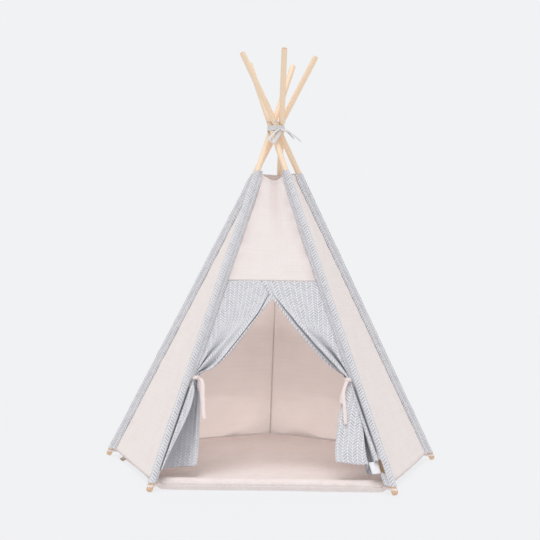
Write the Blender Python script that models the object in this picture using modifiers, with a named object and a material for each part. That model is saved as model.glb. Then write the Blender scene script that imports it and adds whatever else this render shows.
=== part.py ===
"""Children's play tent: five wooden poles laced together near the top, a sewn cloth cover and a floor mat.

Metres, +Z up. The origin is on the floor, on the tent's axis. The doorway faces -Y.
"""

import math

import bmesh
import bpy
from mathutils import Matrix, Vector
from mathutils.geometry import convex_hull_2d

# Poles
POLE_LENGTH = 1.80
POLE_DIAMETER = 0.022
POLE_END_ROUND = 0.0075
POLE_SIDES = 20
FOOT_CIRCLE_RADIUS = 0.70
CROSSING_HEIGHT = 1.308
POLE_GAP = 0.0006

# Lashing: a cord laced through a hole in every pole, and a ribbon tied round them below it
HOLE_ABOVE_CROSSING = 0.026
CORD_DIAMETER = 0.0032
CORD_HOLE_CLEARANCE = 0.0007
CORD_KNOT_DIAMETER = 0.0046
CORD_END_DIAMETER = 0.0024
KNOT_CORNER = 4
HUB_RIBBON_WIDTH = 0.020
HUB_RIBBON_THICKNESS = 0.0014
HUB_RIBBON_RISE = 0.002
BOW_RIBBON_WIDTH = 0.018
BOW_KNOT_SIZE = (0.014, 0.009, 0.015)
BOW_ANGLE = math.radians(-72)

# Cover
WALL_THICKNESS = 0.0016
WALL_CLEARANCE = 0.0005
WALL_SAG = 0.016
COVER_TOP_HEIGHT = 1.138
WALL_TOP_DROP = 0.007
FRONT_TOP_SAG = 0.020
SLEEVE_FOOT_HEIGHT = 0.034
HEM_CORNER_HEIGHT = 0.030
HEM_MIDDLE_DROP = 0.009
SEAM_GAP = 0.0003
SLEEVE_THICKNESS = 0.0012
SLEEVE_CLEARANCE = 0.0006
SLEEVE_REACH = 0.0165
SLEEVE_SEAM_GAP = 0.0007

# Doorway curtains. Each free edge is a list of heights and distances from the curtain's own front corner.
CURTAIN_THICKNESS = 0.0012
CURTAIN_SEAM_HEIGHT = 0.715
CURTAIN_OPEN_HEIGHT = 0.64
CURTAIN_EDGE_GAP = 0.0016
CURTAIN_STEP = 0.0011
CURTAIN_FOLDS = 5
CURTAIN_FOLD_DEPTH = 0.0105
TIE_HEIGHT = 0.372
TIE_SHIFT = 0.0026
TIE_SHIFT_REACH = 0.07
LEFT_FREE_EDGE = (
    (0.7145, 0.2045),
    (0.648, 0.1955),
    (0.585, 0.167),
    (0.518, 0.1375),
    (0.452, 0.106),
    (0.411, 0.077),
    (0.384, 0.0405),
    (0.360, 0.0405),
    (0.302, 0.058),
    (0.233, 0.080),
    (0.150, 0.102),
    (0.068, 0.120),
)
RIGHT_FREE_EDGE = (
    (0.7145, 0.214),
    (0.648, 0.195),
    (0.590, 0.169),
    (0.522, 0.1335),
    (0.464, 0.1015),
    (0.414, 0.0695),
    (0.385, 0.0405),
    (0.359, 0.0405),
    (0.300, 0.068),
    (0.203, 0.116),
    (0.130, 0.146),
    (0.060, 0.160),
)
LEFT_HEM_RISE = 0.018
RIGHT_HEM_RISE = 0.040
TIE_RIBBON_WIDTH = 0.013
TIE_RIBBON_THICKNESS = 0.0012
TIE_RIBBON_CLEARANCE = 0.0004
TIE_KNOT_SIZE = (0.013, 0.008, 0.014)
TIE_KNOT_PLACE = 0.031
TIE_TAILS = {
    "left": (
        ((0.040, 0.366, 0.024), (0.054, 0.330, 0.024), (0.074, 0.280, 0.023), (0.094, 0.228, 0.022)),
        ((0.036, 0.358, 0.019), (0.046, 0.320, 0.018), (0.062, 0.280, 0.017), (0.080, 0.243, 0.017)),
    ),
    "right": (
        ((0.042, 0.350, 0.024), (0.058, 0.305, 0.024), (0.072, 0.262, 0.023), (0.088, 0.221, 0.022)),
        ((0.044, 0.352, 0.019), (0.056, 0.328, 0.018), (0.070, 0.302, 0.018)),
    ),
}

# Floor mat and the ties at its corners
MAT_APOTHEM = 0.526
MAT_CORNER_CUT = 0.004
MAT_SIDE_DRAW = 0.006
MAT_THICKNESS = 0.038
MAT_EDGE_ROUND = 0.019
MAT_TIE_WIDTH = 0.009
MAT_TIE_THICKNESS = 0.0012
MAT_TIE_HEIGHT = 0.0205

STRAP_CLEARANCE = 0.0003
LEAST_STRAP_STEP = 0.0012

# Labels
CARE_LABEL_SIZE = (0.030, 0.040)
CARE_LABEL_HEIGHT = 0.068
LEATHER_LABEL_SIZE = (0.014, 0.044)
LEATHER_LABEL_HEIGHT = 0.076
LABEL_THICKNESS = 0.0008
HEM_TAB_SIZE = (0.026, 0.015)
HEM_TAB_THICKNESS = 0.0022
HEM_TAB_HEIGHT = 0.012
HEM_TAB_ALONG = 0.205

CORNERS = ("back", "left_side", "front_left", "front_right", "right_side")
BACK, LEFT_SIDE, FRONT_LEFT, FRONT_RIGHT, RIGHT_SIDE = range(5)
FRONT = FRONT_LEFT
TURN = 2 * math.pi / len(CORNERS)
UP = Vector((0, 0, 1))

# Sizes that follow from the ones above
LEAN_SLOPE = FOOT_CIRCLE_RADIUS / CROSSING_HEIGHT
LEAN = math.atan(LEAN_SLOPE)
POLE_RADIUS = POLE_DIAMETER / 2
# Straight poles leaning the same way all pass this far from the tent's axis without touching.
TWIST_RADIUS = (
    (POLE_DIAMETER + POLE_GAP)
    * math.sqrt(1 + (LEAN_SLOPE * math.cos(TURN / 2)) ** 2)
    / (2 * math.sin(TURN / 2))
)
# A level cut through a leaning pole is an ellipse: this is its half length, in the lean's direction.
POLE_CUT = POLE_RADIUS / math.cos(LEAN)
WALL_SLOPE = LEAN_SLOPE * math.cos(TURN / 2)
WALL_HALF_CUT = WALL_THICKNESS / 2 * math.sqrt(1 + WALL_SLOPE**2)
SEAM_INSET = (POLE_CUT + WALL_CLEARANCE + WALL_HALF_CUT) / math.cos(TURN / 2)
SEAM_EASE = WALL_HALF_CUT * math.tan(TURN / 2) + SEAM_GAP / 2
HOLE_HEIGHT = CROSSING_HEIGHT + HOLE_ABOVE_CROSSING
WALL_TOP_HEIGHT = COVER_TOP_HEIGHT - WALL_TOP_DROP


def clear_scene():
    for obj in list(bpy.data.objects):
        bpy.data.objects.remove(obj, do_unlink=True)


def make_collection(name):
    collection = bpy.data.collections.new(name)
    bpy.context.scene.collection.children.link(collection)
    return collection


def make_material(name, colour, roughness, metallic=0.0):
    material = bpy.data.materials.new(name)
    material.use_nodes = True
    shader = material.node_tree.nodes["Principled BSDF"]
    shader.inputs["Base Color"].default_value = (*colour, 1)
    shader.inputs["Roughness"].default_value = roughness
    shader.inputs["Metallic"].default_value = metallic
    material.diffuse_color = (*colour, 1)
    return material


clear_scene()
TENT = make_collection("play_tent")
CUTTERS = make_collection("cutters")
WOOD = make_material("pale_pine", (0.78, 0.55, 0.33), 0.55)
PINK_CLOTH = make_material("pale_pink_cotton", (0.84, 0.77, 0.75), 0.9)
GREY_CLOTH = make_material("grey_herringbone_cotton", (0.62, 0.63, 0.67), 0.9)
PLUSH = make_material("pale_pink_plush", (0.82, 0.71, 0.68), 0.95)
RIBBON = make_material("pink_ribbon", (0.85, 0.72, 0.68), 0.8)
GREY_RIBBON = make_material("light_grey_ribbon", (0.78, 0.78, 0.79), 0.8)
CORD = make_material("white_cord", (0.86, 0.85, 0.83), 0.8)
LABEL = make_material("white_satin_label", (0.88, 0.88, 0.9), 0.5)
LEATHER = make_material("brown_leather", (0.35, 0.24, 0.16), 0.6)


# Objects, parents and modifiers


def add_empty(name, matrix, parent=None):
    empty = bpy.data.objects.new(name, None)
    empty.empty_display_size = 0.05
    TENT.objects.link(empty)
    empty.parent = parent
    empty.matrix_world = matrix
    return empty


def add_object(name, data, material=None, parent=None, collection=TENT):
    """A named object whose data is already in world coordinates, carried by its parent empty."""
    obj = bpy.data.objects.new(name, data)
    collection.objects.link(obj)
    if material:
        data.materials.append(material)
    if parent:
        obj.parent = parent
        obj.matrix_parent_inverse = parent.matrix_world.inverted()
    return obj


def add_solidify(obj, thickness):
    solidify = obj.modifiers.new("thickness", "SOLIDIFY")
    solidify.thickness = thickness
    solidify.offset = 0
    return solidify


def add_boolean(obj, other, operation):
    boolean = obj.modifiers.new(operation.lower(), "BOOLEAN")
    boolean.operation = operation
    boolean.object = other
    boolean.solver = "EXACT"
    boolean.use_self = operation == "UNION"
    other.hide_render = True
    other.display_type = "WIRE"


def smooth(obj, angle=math.radians(40)):
    obj.data.shade_smooth()
    obj.data.set_sharp_from_angle(angle=angle)


def add_cloth(name, surface, columns, rows, thickness, material, parent):
    """A sheet of cloth: a grid whose points go where surface(u, v) says, u and v from 0 to 1."""
    mesh = bpy.data.meshes.new(name)
    bm = bmesh.new()
    bmesh.ops.create_grid(bm, x_segments=columns, y_segments=rows, size=1)
    for vert in bm.verts:
        vert.co = surface((vert.co.x + 1) / 2, (vert.co.y + 1) / 2)
    bmesh.ops.recalc_face_normals(bm, faces=bm.faces)
    bm.to_mesh(mesh)
    bm.free()
    obj = add_object(name, mesh, material, parent)
    smooth(obj)
    add_solidify(obj, thickness)
    return obj


def add_tube(name, points, diameter, cyclic, collection=TENT):
    """A round cord along points, made a mesh so that it can be joined to another."""
    curve = bpy.data.curves.new(name, "CURVE")
    curve.dimensions = "3D"
    curve.bevel_depth = diameter / 2
    curve.bevel_resolution = 1
    curve.use_fill_caps = True
    spline = curve.splines.new("POLY")
    spline.points.add(len(points) - 1)
    for place, point in zip(spline.points, points):
        place.co = (*point, 1)
    spline.use_cyclic_u = cyclic
    return mesh_from_curve(name, curve, collection)


def mesh_from_curve(name, curve, collection=TENT):
    guide = add_object(name + "_guide", curve, collection=CUTTERS)
    guide.hide_render = True
    bpy.context.view_layer.update()
    evaluated = guide.evaluated_get(bpy.context.evaluated_depsgraph_get())
    mesh = bpy.data.meshes.new_from_object(evaluated)
    bm = bmesh.new()
    bm.from_mesh(mesh)
    bmesh.ops.remove_doubles(bm, verts=bm.verts, dist=0.000005)
    bmesh.ops.recalc_face_normals(bm, faces=bm.faces)
    bm.to_mesh(mesh)
    bm.free()
    mesh.name = name
    matrix = guide.matrix_world.copy()
    bpy.data.objects.remove(guide, do_unlink=True)
    obj = add_object(name, mesh, collection=collection)
    obj.matrix_world = matrix
    return obj


# Curves through points


def spline_point(points, place, cyclic=False):
    """A point on the smooth curve through points, at a place counted in points from the first."""
    count = len(points)
    last = count if cyclic else count - 1
    index = min(int(place), last - 1)
    t = place - index

    def at(i):
        return points[i % count] if cyclic else points[max(0, min(count - 1, i))]

    p0, p1, p2, p3 = (at(index + step) for step in (-1, 0, 1, 2))
    return (
        2 * p1
        + (p2 - p0) * t
        + (2 * p0 - 5 * p1 + 4 * p2 - p3) * t**2
        + (3 * p1 - p0 - 3 * p2 + p3) * t**3
    ) / 2


def spline_through(points, steps, cyclic=False):
    """Points along the smooth curve through the given ones, with this many steps between two."""
    spans = len(points) if cyclic else len(points) - 1
    path = [spline_point(points, i / steps, cyclic) for i in range(spans * steps)]
    return path if cyclic else path + [points[-1]]


def eased(t):
    return t * t * (3 - 2 * t)


def blended(a, b, t):
    return a + (b - a) * t


# The tent's frame: where each pole, corner seam and wall lies at a height


def corner_inward(corner):
    angle = math.pi / 2 + corner * TURN
    return Vector((-math.cos(angle), -math.sin(angle), 0))


def corner_sideways(corner):
    return UP.cross(corner_inward(corner))


def pole_axis_point(corner, height):
    inward = corner_inward(corner) * (height - CROSSING_HEIGHT) * LEAN_SLOPE
    return corner_sideways(corner) * TWIST_RADIUS + inward + UP * height


def pole_section_point(corner, height, angle, clearance):
    """A point round the level cut through a pole; angle 0 is straight outward, a quarter turn sideways."""
    outward = -corner_inward(corner) * (POLE_CUT + clearance) * math.cos(angle)
    sideways = corner_sideways(corner) * (POLE_RADIUS + clearance) * math.sin(angle)
    return pole_axis_point(corner, height) + outward + sideways


def seam_point(corner, height):
    """Where the two walls beside a pole meet, just inside it."""
    centre = pole_axis_point(corner, height)
    outward = Vector((centre.x, centre.y, 0)).normalized()
    return centre - outward * SEAM_INSET


def wall_width(side, height):
    return (seam_point(side + 1, height) - seam_point(side, height)).length


FLOOR_WALL_WIDTH = wall_width(0, 0)


def wall_point(side, along, height, lift=0.0):
    """A point on a wall, this far along from the corner that the wall starts at, lifted outward."""
    start = seam_point(side, height)
    end = seam_point(side + 1, height)
    direction = (end - start).normalized()
    width = (end - start).length
    outward = direction.cross(UP)
    sag = WALL_SAG * (width / FLOOR_WALL_WIDTH) * math.sin(math.pi * along / width) ** 2
    sag *= math.sin(math.pi * min(1, 0.12 + height / COVER_TOP_HEIGHT))
    return start + direction * along + outward * (lift - max(0, sag))


def pole_matrix(corner):
    """At the pole's lacing hole, with local Z up the pole and local X along the hole."""
    sideways = corner_sideways(corner)
    along = (corner_inward(corner) * LEAN_SLOPE + UP).normalized()
    across = along.cross(sideways)
    turned = Matrix((sideways, across, along)).transposed().to_4x4()
    return Matrix.Translation(pole_axis_point(corner, HOLE_HEIGHT)) @ turned


def pole_foot_drop():
    """How far down the pole its end lies from the lacing hole, if the round end just meets the floor."""
    rim = POLE_RADIUS - POLE_END_ROUND
    end_height = POLE_END_ROUND + rim * math.sin(LEAN) - POLE_END_ROUND * math.cos(LEAN)
    return (HOLE_HEIGHT - end_height) / math.cos(LEAN)


# Poles


def add_pole(corner, hinge):
    name = "pole_" + CORNERS[corner]
    drop = pole_foot_drop()
    mesh = bpy.data.meshes.new(name)
    bm = bmesh.new()
    bmesh.ops.create_cone(
        bm,
        cap_ends=True,
        segments=POLE_SIDES,
        radius1=POLE_RADIUS,
        radius2=POLE_RADIUS,
        depth=POLE_LENGTH,
        matrix=Matrix.Translation((0, 0, POLE_LENGTH / 2 - drop)),
    )
    bm.to_mesh(mesh)
    bm.free()
    pole = bpy.data.objects.new(name, mesh)
    TENT.objects.link(pole)
    mesh.materials.append(WOOD)
    pole.parent = hinge
    smooth(pole)
    bevel = pole.modifiers.new("rounded_ends", "BEVEL")
    bevel.width = POLE_END_ROUND
    bevel.segments = 3
    bevel.limit_method = "ANGLE"
    bevel.angle_limit = math.radians(40)
    hole = add_hole_cutter(name + "_hole")
    hole.parent = hinge
    add_boolean(pole, hole, "DIFFERENCE")
    return pole


def add_hole_cutter(name):
    mesh = bpy.data.meshes.new(name)
    bm = bmesh.new()
    radius = CORD_DIAMETER / 2 + CORD_HOLE_CLEARANCE
    bmesh.ops.create_cone(
        bm,
        cap_ends=True,
        segments=12,
        radius1=radius,
        radius2=radius,
        depth=2 * POLE_DIAMETER,
        matrix=Matrix.Rotation(math.pi / 2, 4, "Y"),
    )
    bm.to_mesh(mesh)
    bm.free()
    cutter = bpy.data.objects.new(name, mesh)
    CUTTERS.objects.link(cutter)
    return cutter


# Lashing cord


def hub_point(corner, inward, sideways, height=HOLE_HEIGHT):
    """A point placed from the tent's axis, in one pole's own directions."""
    return (
        corner_inward(corner) * inward + corner_sideways(corner) * sideways + UP * height
    )


def lashing_route():
    """Once through every hole and back between that pole and the next, all at the holes' height."""
    hole = HOLE_ABOVE_CROSSING * LEAN_SLOPE
    near = TWIST_RADIUS - POLE_RADIUS
    far = TWIST_RADIUS + POLE_RADIUS
    stand_off = CORD_DIAMETER * 0.9
    route = []
    for corner in range(len(CORNERS)):
        route += [
            hub_point(corner, hole + 0.0034, near - 0.0037),
            hub_point(corner, hole + 0.0008, near - 0.0032),
            hub_point(corner, hole, near - 0.0006),
            hub_point(corner, hole, (near + far) / 2),
            hub_point(corner, hole, far + 0.0006),
            hub_point(corner, hole - 0.0009, far + 0.0028),
        ]
        for degrees in (112, 136, 160, 181):
            angle = math.radians(degrees)
            inward = hole + (POLE_CUT + stand_off) * math.cos(angle)
            sideways = TWIST_RADIUS + (POLE_RADIUS + stand_off) * math.sin(angle)
            route.append(hub_point(corner, inward, sideways))
    return route


def add_lashing_cord(hub):
    path = spline_through(lashing_route(), 2, cyclic=True)
    cord = add_tube("lashing_cord", path, CORD_DIAMETER, cyclic=True)
    cord.data.materials.append(CORD)
    cord.parent = hub
    cord.matrix_parent_inverse = hub.matrix_world.inverted()
    smooth(cord, math.radians(60))
    hole = HOLE_ABOVE_CROSSING * LEAN_SLOPE
    mouth = TWIST_RADIUS + POLE_RADIUS

    def spot(inward, sideways, rise):
        place = (hole + inward, mouth + sideways, HOLE_HEIGHT + rise)
        return hub_point(KNOT_CORNER, *place)

    mesh = bpy.data.meshes.new("cord_knot")
    bm = bmesh.new()
    centre = Matrix.Translation(spot(0, 0.0030, 0))
    radius = CORD_KNOT_DIAMETER / 2
    bmesh.ops.create_uvsphere(bm, u_segments=12, v_segments=8, radius=radius, matrix=centre)
    bm.to_mesh(mesh)
    bm.free()
    knot = add_object("cord_knot", mesh, collection=CUTTERS)
    add_boolean(cord, knot, "UNION")
    ends = (
        (spot(0, 0.003, 0), spot(0.002, 0.006, 0.002), spot(0.003, 0.009, -0.001)),
        (spot(0, 0.003, 0), spot(-0.001, 0.006, -0.001), spot(-0.002, 0.009, -0.005)),
    )
    for number, end in enumerate(ends):
        path = spline_through(end, 2)
        tail = add_tube(f"cord_end_{number}", path, CORD_END_DIAMETER, False, CUTTERS)
        add_boolean(cord, tail, "UNION")
    return cord


# Cover


def add_wall(name, side, parent):
    def surface(u, v):
        hem = HEM_CORNER_HEIGHT - HEM_MIDDLE_DROP * math.sin(math.pi * u)
        height = blended(hem, WALL_TOP_HEIGHT, v)
        width = wall_width(side, height)
        along = blended(SEAM_EASE, width - SEAM_EASE, u)
        return wall_point(side, along, height)

    return add_cloth(name, surface, 12, 10, WALL_THICKNESS, PINK_CLOTH, parent)


def add_front_panel(parent):
    """The pink panel over the doorway, down to the seam that the curtains hang from."""

    def surface(u, v):
        top = WALL_TOP_HEIGHT - FRONT_TOP_SAG * math.sin(math.pi * u)
        height = blended(CURTAIN_SEAM_HEIGHT, top, v)
        width = wall_width(FRONT, height)
        along = blended(SEAM_EASE, width - SEAM_EASE, u)
        return wall_point(FRONT, along, height)

    return add_cloth("front_panel", surface, 8, 6, WALL_THICKNESS, PINK_CLOTH, parent)


def sleeve_edge(corner, height, on_next_wall):
    """Where a sleeve's edge is sewn down, on the wall to one side of its pole."""
    lift = WALL_HALF_CUT + SLEEVE_SEAM_GAP + SLEEVE_THICKNESS / 2
    if on_next_wall:
        return wall_point(corner, SLEEVE_REACH, height, lift)
    side = corner - 1
    return wall_point(side, wall_width(side, height) - SLEEVE_REACH, height, lift)


def add_sleeve(corner, parent):
    """The strip over a pole: half a turn round its outer side, then in to the wall on each side."""
    clearance = SLEEVE_CLEARANCE + SLEEVE_THICKNESS / 2
    flank_share = 1 / 6

    def surface(u, v):
        height = blended(SLEEVE_FOOT_HEIGHT, COVER_TOP_HEIGHT, v)
        turn = max(0, min(1, (u - flank_share) / (1 - 2 * flank_share)))
        angle = blended(-math.pi / 2, math.pi / 2, turn)
        rim = pole_section_point(corner, height, angle, clearance)
        if turn == 0:
            edge = sleeve_edge(corner, height, on_next_wall=True)
            return edge.lerp(rim, u / flank_share)
        if turn == 1:
            edge = sleeve_edge(corner, height, on_next_wall=False)
            return edge.lerp(rim, (1 - u) / flank_share)
        return rim

    name = "sleeve_" + CORNERS[corner]
    return add_cloth(name, surface, 12, 6, SLEEVE_THICKNESS, GREY_CLOTH, parent)


# Doorway curtains


def front_point(mirrored, from_corner, height, lift):
    """A point on the front, measured from its left corner or, mirrored, from its right one."""
    along = wall_width(FRONT, height) - from_corner if mirrored else from_corner
    return wall_point(FRONT, along, height, lift)


def curtain_outer_edge(height):
    """The edge that is sewn on beside the sleeve, drawn in a little where the curtain is tied."""
    pull = max(0, 1 - abs(height - TIE_HEIGHT) / TIE_SHIFT_REACH)
    return SLEEVE_REACH + CURTAIN_EDGE_GAP + TIE_SHIFT * eased(min(1, 1.4 * pull))


def curtain_surface(free_edge, hem_rise, mirrored):
    """Flat where the curtain is sewn to the panel above, then drawn into folds down to its tie."""
    rows = [Vector(row) for row in free_edge]
    step = CURTAIN_STEP if mirrored else -CURTAIN_STEP
    hem = free_edge[-1][0]

    def surface(u, v):
        row_height, inner = spline_point(rows, (1 - v) * (len(rows) - 1))
        below_tie = max(0, (TIE_HEIGHT - row_height) / (TIE_HEIGHT - hem))
        height = row_height + hem_rise * eased(u) * below_tie**2
        gathered = (CURTAIN_OPEN_HEIGHT - height) / (CURTAIN_OPEN_HEIGHT - TIE_HEIGHT)
        depth = CURTAIN_FOLD_DEPTH * eased(max(0, min(1, gathered)))
        turn = math.pi * CURTAIN_FOLDS * u
        roundness = blended(0.5, 0.25, below_tie)
        share = (turn - roundness * math.sin(2 * turn)) / (math.pi * CURTAIN_FOLDS)
        outer = curtain_outer_edge(height)
        lift = step - depth * math.sin(turn)
        return front_point(mirrored, blended(outer, inner, share), height, lift)

    return surface


def hull_outline(points, spread):
    """The line drawn tight round the given points, each grown to a disc."""
    grown = [
        Vector((p[0] + spread * math.cos(a), p[1] + spread * math.sin(a)))
        for p in points
        for a in (i * math.pi / 6 for i in range(12))
    ]
    outline = []
    for index in convex_hull_2d(grown):
        if not outline or (grown[index] - outline[-1]).length > LEAST_STRAP_STEP:
            outline.append(grown[index])
    if (outline[0] - outline[-1]).length < LEAST_STRAP_STEP:
        outline.pop()
    return outline


def add_band(name, outline, place, width, thickness, material, parent):
    """A closed strap: place(point, rise) sets each point of its outline, this far over its middle line."""
    count = len(outline)
    mesh = bpy.data.meshes.new(name)
    bm = bmesh.new()
    bmesh.ops.create_cone(
        bm, cap_ends=False, segments=count, radius1=1, radius2=1, depth=1
    )
    for vert in bm.verts:
        turn = math.atan2(vert.co.y, vert.co.x) / (2 * math.pi)
        index = int(turn % 1 * count + 0.01) % count
        vert.co = place(outline[index], width * vert.co.z)
    bmesh.ops.recalc_face_normals(bm, faces=bm.faces)
    bm.to_mesh(mesh)
    bm.free()
    obj = add_object(name, mesh, material, parent)
    smooth(obj)
    add_solidify(obj, thickness)
    return obj


def add_ribbon(name, path, widths, width, thickness, steps):
    """A strip along a smooth path; widths gives the direction across it at each point of the path."""
    rows = (len(path) - 1) * steps

    def surface(u, v):
        place = v * (len(path) - 1)
        across = spline_point(widths, place).normalized()
        return spline_point(path, place) + across * (u - 0.5) * width

    ribbon = add_cloth(name, surface, 1, rows, thickness, None, None)
    for collection in list(ribbon.users_collection):
        collection.objects.unlink(ribbon)
    CUTTERS.objects.link(ribbon)
    return ribbon


def add_knot(name, centre, across, outward, size, material, parent):
    """A soft block of knotted ribbon that the loose ends grow out of."""
    up = across.cross(outward)
    matrix = Matrix((across, outward, up)).transposed().to_4x4()
    matrix = Matrix.Translation(centre) @ matrix @ Matrix.Diagonal((*size, 1))
    mesh = bpy.data.meshes.new(name)
    bm = bmesh.new()
    bmesh.ops.create_cube(bm, size=1, matrix=matrix)
    bmesh.ops.recalc_face_normals(bm, faces=bm.faces)
    bm.to_mesh(mesh)
    bm.free()
    knot = add_object(name, mesh, material, parent)
    smooth(knot)
    bevel = knot.modifiers.new("rounded", "BEVEL")
    bevel.width = min(size) * 0.4
    bevel.segments = 2
    return knot


def add_curtain(name, free_edge, hem_rise, mirrored, parent):
    surface = curtain_surface(free_edge, hem_rise, mirrored)
    return add_cloth(name, surface, 25, 18, CURTAIN_THICKNESS, GREY_CLOTH, parent)


def bundle_section(free_edge, mirrored):
    """The cut through the tied curtain, as distances from the corner and lifts off the wall."""
    inner = min(from_corner for _, from_corner in free_edge)
    outer = curtain_outer_edge(TIE_HEIGHT)
    step = CURTAIN_STEP if mirrored else -CURTAIN_STEP
    depth = CURTAIN_FOLD_DEPTH
    return [
        (along, lift)
        for along in (outer, inner)
        for lift in (step - depth, step + depth)
    ]


def add_tieback(name, free_edge, mirrored, parent):
    spread = (CURTAIN_THICKNESS + TIE_RIBBON_THICKNESS) / 2 + TIE_RIBBON_CLEARANCE
    outline = hull_outline(bundle_section(free_edge, mirrored), spread)

    def place(point, rise):
        return front_point(mirrored, point.x, TIE_HEIGHT + rise, point.y)

    add_band(
        name, outline, place, TIE_RIBBON_WIDTH, TIE_RIBBON_THICKNESS, RIBBON, parent
    )
    return max(point.y for point in outline) + TIE_RIBBON_THICKNESS / 2


def add_tieback_ends(name, mirrored, face, tails, parent):
    """The knot in front of a tieback and its two loose ends; each tail is a list of points to pass."""
    lift = face + (SEAM_GAP + TIE_KNOT_SIZE[1] / 2) * math.sqrt(1 + WALL_SLOPE**2)

    def spot(from_corner, rise):
        return front_point(mirrored, from_corner, TIE_HEIGHT + rise, lift)

    centre = spot(TIE_KNOT_PLACE, 0)
    across = (centre - spot(TIE_KNOT_PLACE - 0.01, 0)).normalized()
    up = (spot(TIE_KNOT_PLACE, 0.01) - spot(TIE_KNOT_PLACE, -0.01)).normalized()
    outward = up.cross(across).normalized()
    knot = add_knot(name, centre, across, outward, TIE_KNOT_SIZE, RIBBON, parent)
    for number, tail in enumerate(tails):
        path = [centre] + [front_point(mirrored, *point) for point in tail]
        turned = Matrix.Rotation(math.radians(18 - 40 * number), 3, "Z")
        widths = [across] + [turned @ across] * (len(path) - 1)
        ribbon = add_ribbon(
            f"{name}_{number}", path, widths, TIE_RIBBON_WIDTH, TIE_RIBBON_THICKNESS, 3
        )
        add_boolean(knot, ribbon, "UNION")
    return knot


# Floor mat


def mat_corner_angle():
    corner = seam_point(BACK, 0)
    return math.atan2(corner.y, corner.x)


def mat_radius(angle, inset):
    """The mat's outline: a pentagon with round corners and its sides drawn in a little."""
    turned = (angle - mat_corner_angle() + TURN / 2) % TURN - TURN / 2
    straight = (MAT_APOTHEM - inset) / math.cos(TURN / 2 - abs(turned))
    corner = (MAT_APOTHEM - inset) / math.cos(TURN / 2) - MAT_CORNER_CUT
    drawn = MAT_SIDE_DRAW * (1 - abs(math.cos(math.pi * turned / TURN)))
    soft = -math.log(math.exp(-straight * 90) + math.exp(-corner * 90)) / 90
    return soft - drawn


def add_mat(parent):
    """A thick pad with a flat underside, a drawn-in seam and a crowned top, denser at its corners."""
    mesh = bpy.data.meshes.new("mat")
    bm = bmesh.new()
    rings = 12
    bmesh.ops.create_uvsphere(bm, u_segments=60, v_segments=rings, radius=1)
    for vert in bm.verts:
        latitude = math.asin(max(-1, min(1, vert.co.z)))
        turned = math.atan2(vert.co.y, vert.co.x) - math.pi / 2
        crowded = turned - 0.5 * math.sin(len(CORNERS) * turned) / len(CORNERS)
        angle = mat_corner_angle() + crowded
        level = round((latitude / math.pi + 0.5) * rings)
        vert.co = mat_point(level, rings, angle)
    bmesh.ops.recalc_face_normals(bm, faces=bm.faces)
    bm.to_mesh(mesh)
    bm.free()
    mat = add_object("mat", mesh, PLUSH, parent)
    smooth(mat)
    return mat


def mat_point(level, rings, angle):
    """Rings of the pad's skin, from the middle of its underside round the edge to the middle of its top."""
    profile = [
        (None, 0.0),
        (0.55, 0.0),
        (MAT_EDGE_ROUND, 0.0),
        (MAT_EDGE_ROUND * 0.30, 0.20),
        (0.0, 0.44),
        (MAT_EDGE_ROUND * 0.12, 0.62),
        (MAT_EDGE_ROUND * 0.42, 0.80),
        (MAT_EDGE_ROUND * 1.1, 0.90),
        (MAT_EDGE_ROUND * 3.0, 0.96),
        (0.14, 0.985),
        (0.26, 0.995),
        (0.40, 1.0),
        (None, 1.0),
    ]
    inset, share = profile[level]
    height = share * MAT_THICKNESS
    if inset is None:
        return Vector((0, 0, height))
    if inset > 0.5:
        radius = 0.5 * mat_radius(angle, 0)
    else:
        radius = mat_radius(angle, inset)
    return Vector((math.cos(angle) * radius, math.sin(angle) * radius, height))


def add_mat_tie(corner, parent):
    """A loop sewn to the mat's corner that the pole's foot stands in."""
    outward = seam_point(corner, 0)
    outward = Vector((outward.x, outward.y, 0)).normalized()
    angle = math.atan2(outward.y, outward.x)
    foot = [
        pole_section_point(corner, MAT_TIE_HEIGHT, i * math.pi / 12, 0).xy
        for i in range(24)
    ]
    spread = MAT_TIE_THICKNESS / 2 + STRAP_CLEARANCE
    edge = mat_radius(angle, 0) + SEAM_GAP + MAT_TIE_THICKNESS / 2 + spread
    anchor = outward.xy * edge
    across = Vector((-outward.y, outward.x)) * MAT_TIE_WIDTH / 2
    outline = hull_outline([*foot, anchor + across, anchor - across], spread)
    middle = pole_axis_point(corner, MAT_TIE_HEIGHT).xy
    reach = (anchor - middle).length

    def place(point, rise):
        follow = max(0, 1 - (point - middle).length / reach)
        lean = corner_inward(corner) * LEAN_SLOPE * rise * min(1, 2.2 * follow)
        return Vector((point.x, point.y, MAT_TIE_HEIGHT + rise)) + lean

    name = "mat_tie_" + CORNERS[corner]
    return add_band(
        name, outline, place, MAT_TIE_WIDTH, MAT_TIE_THICKNESS, RIBBON, parent
    )


# Ribbon round the crossing


def add_tie_band(parent):
    height = CROSSING_HEIGHT + HUB_RIBBON_RISE
    half = HUB_RIBBON_WIDTH / 2
    points = [
        pole_section_point(corner, level, i * math.pi / 8, 0).xy
        for corner in range(len(CORNERS))
        for level in (height - half, height + half)
        for i in range(16)
    ]
    spread = HUB_RIBBON_THICKNESS / 2 + STRAP_CLEARANCE
    outline = hull_outline(points, spread)

    def place(point, rise):
        return Vector((point.x, point.y, height + rise))

    add_band(
        "tie_band", outline, place, 2 * half, HUB_RIBBON_THICKNESS, GREY_RIBBON, parent
    )
    return outline


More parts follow.
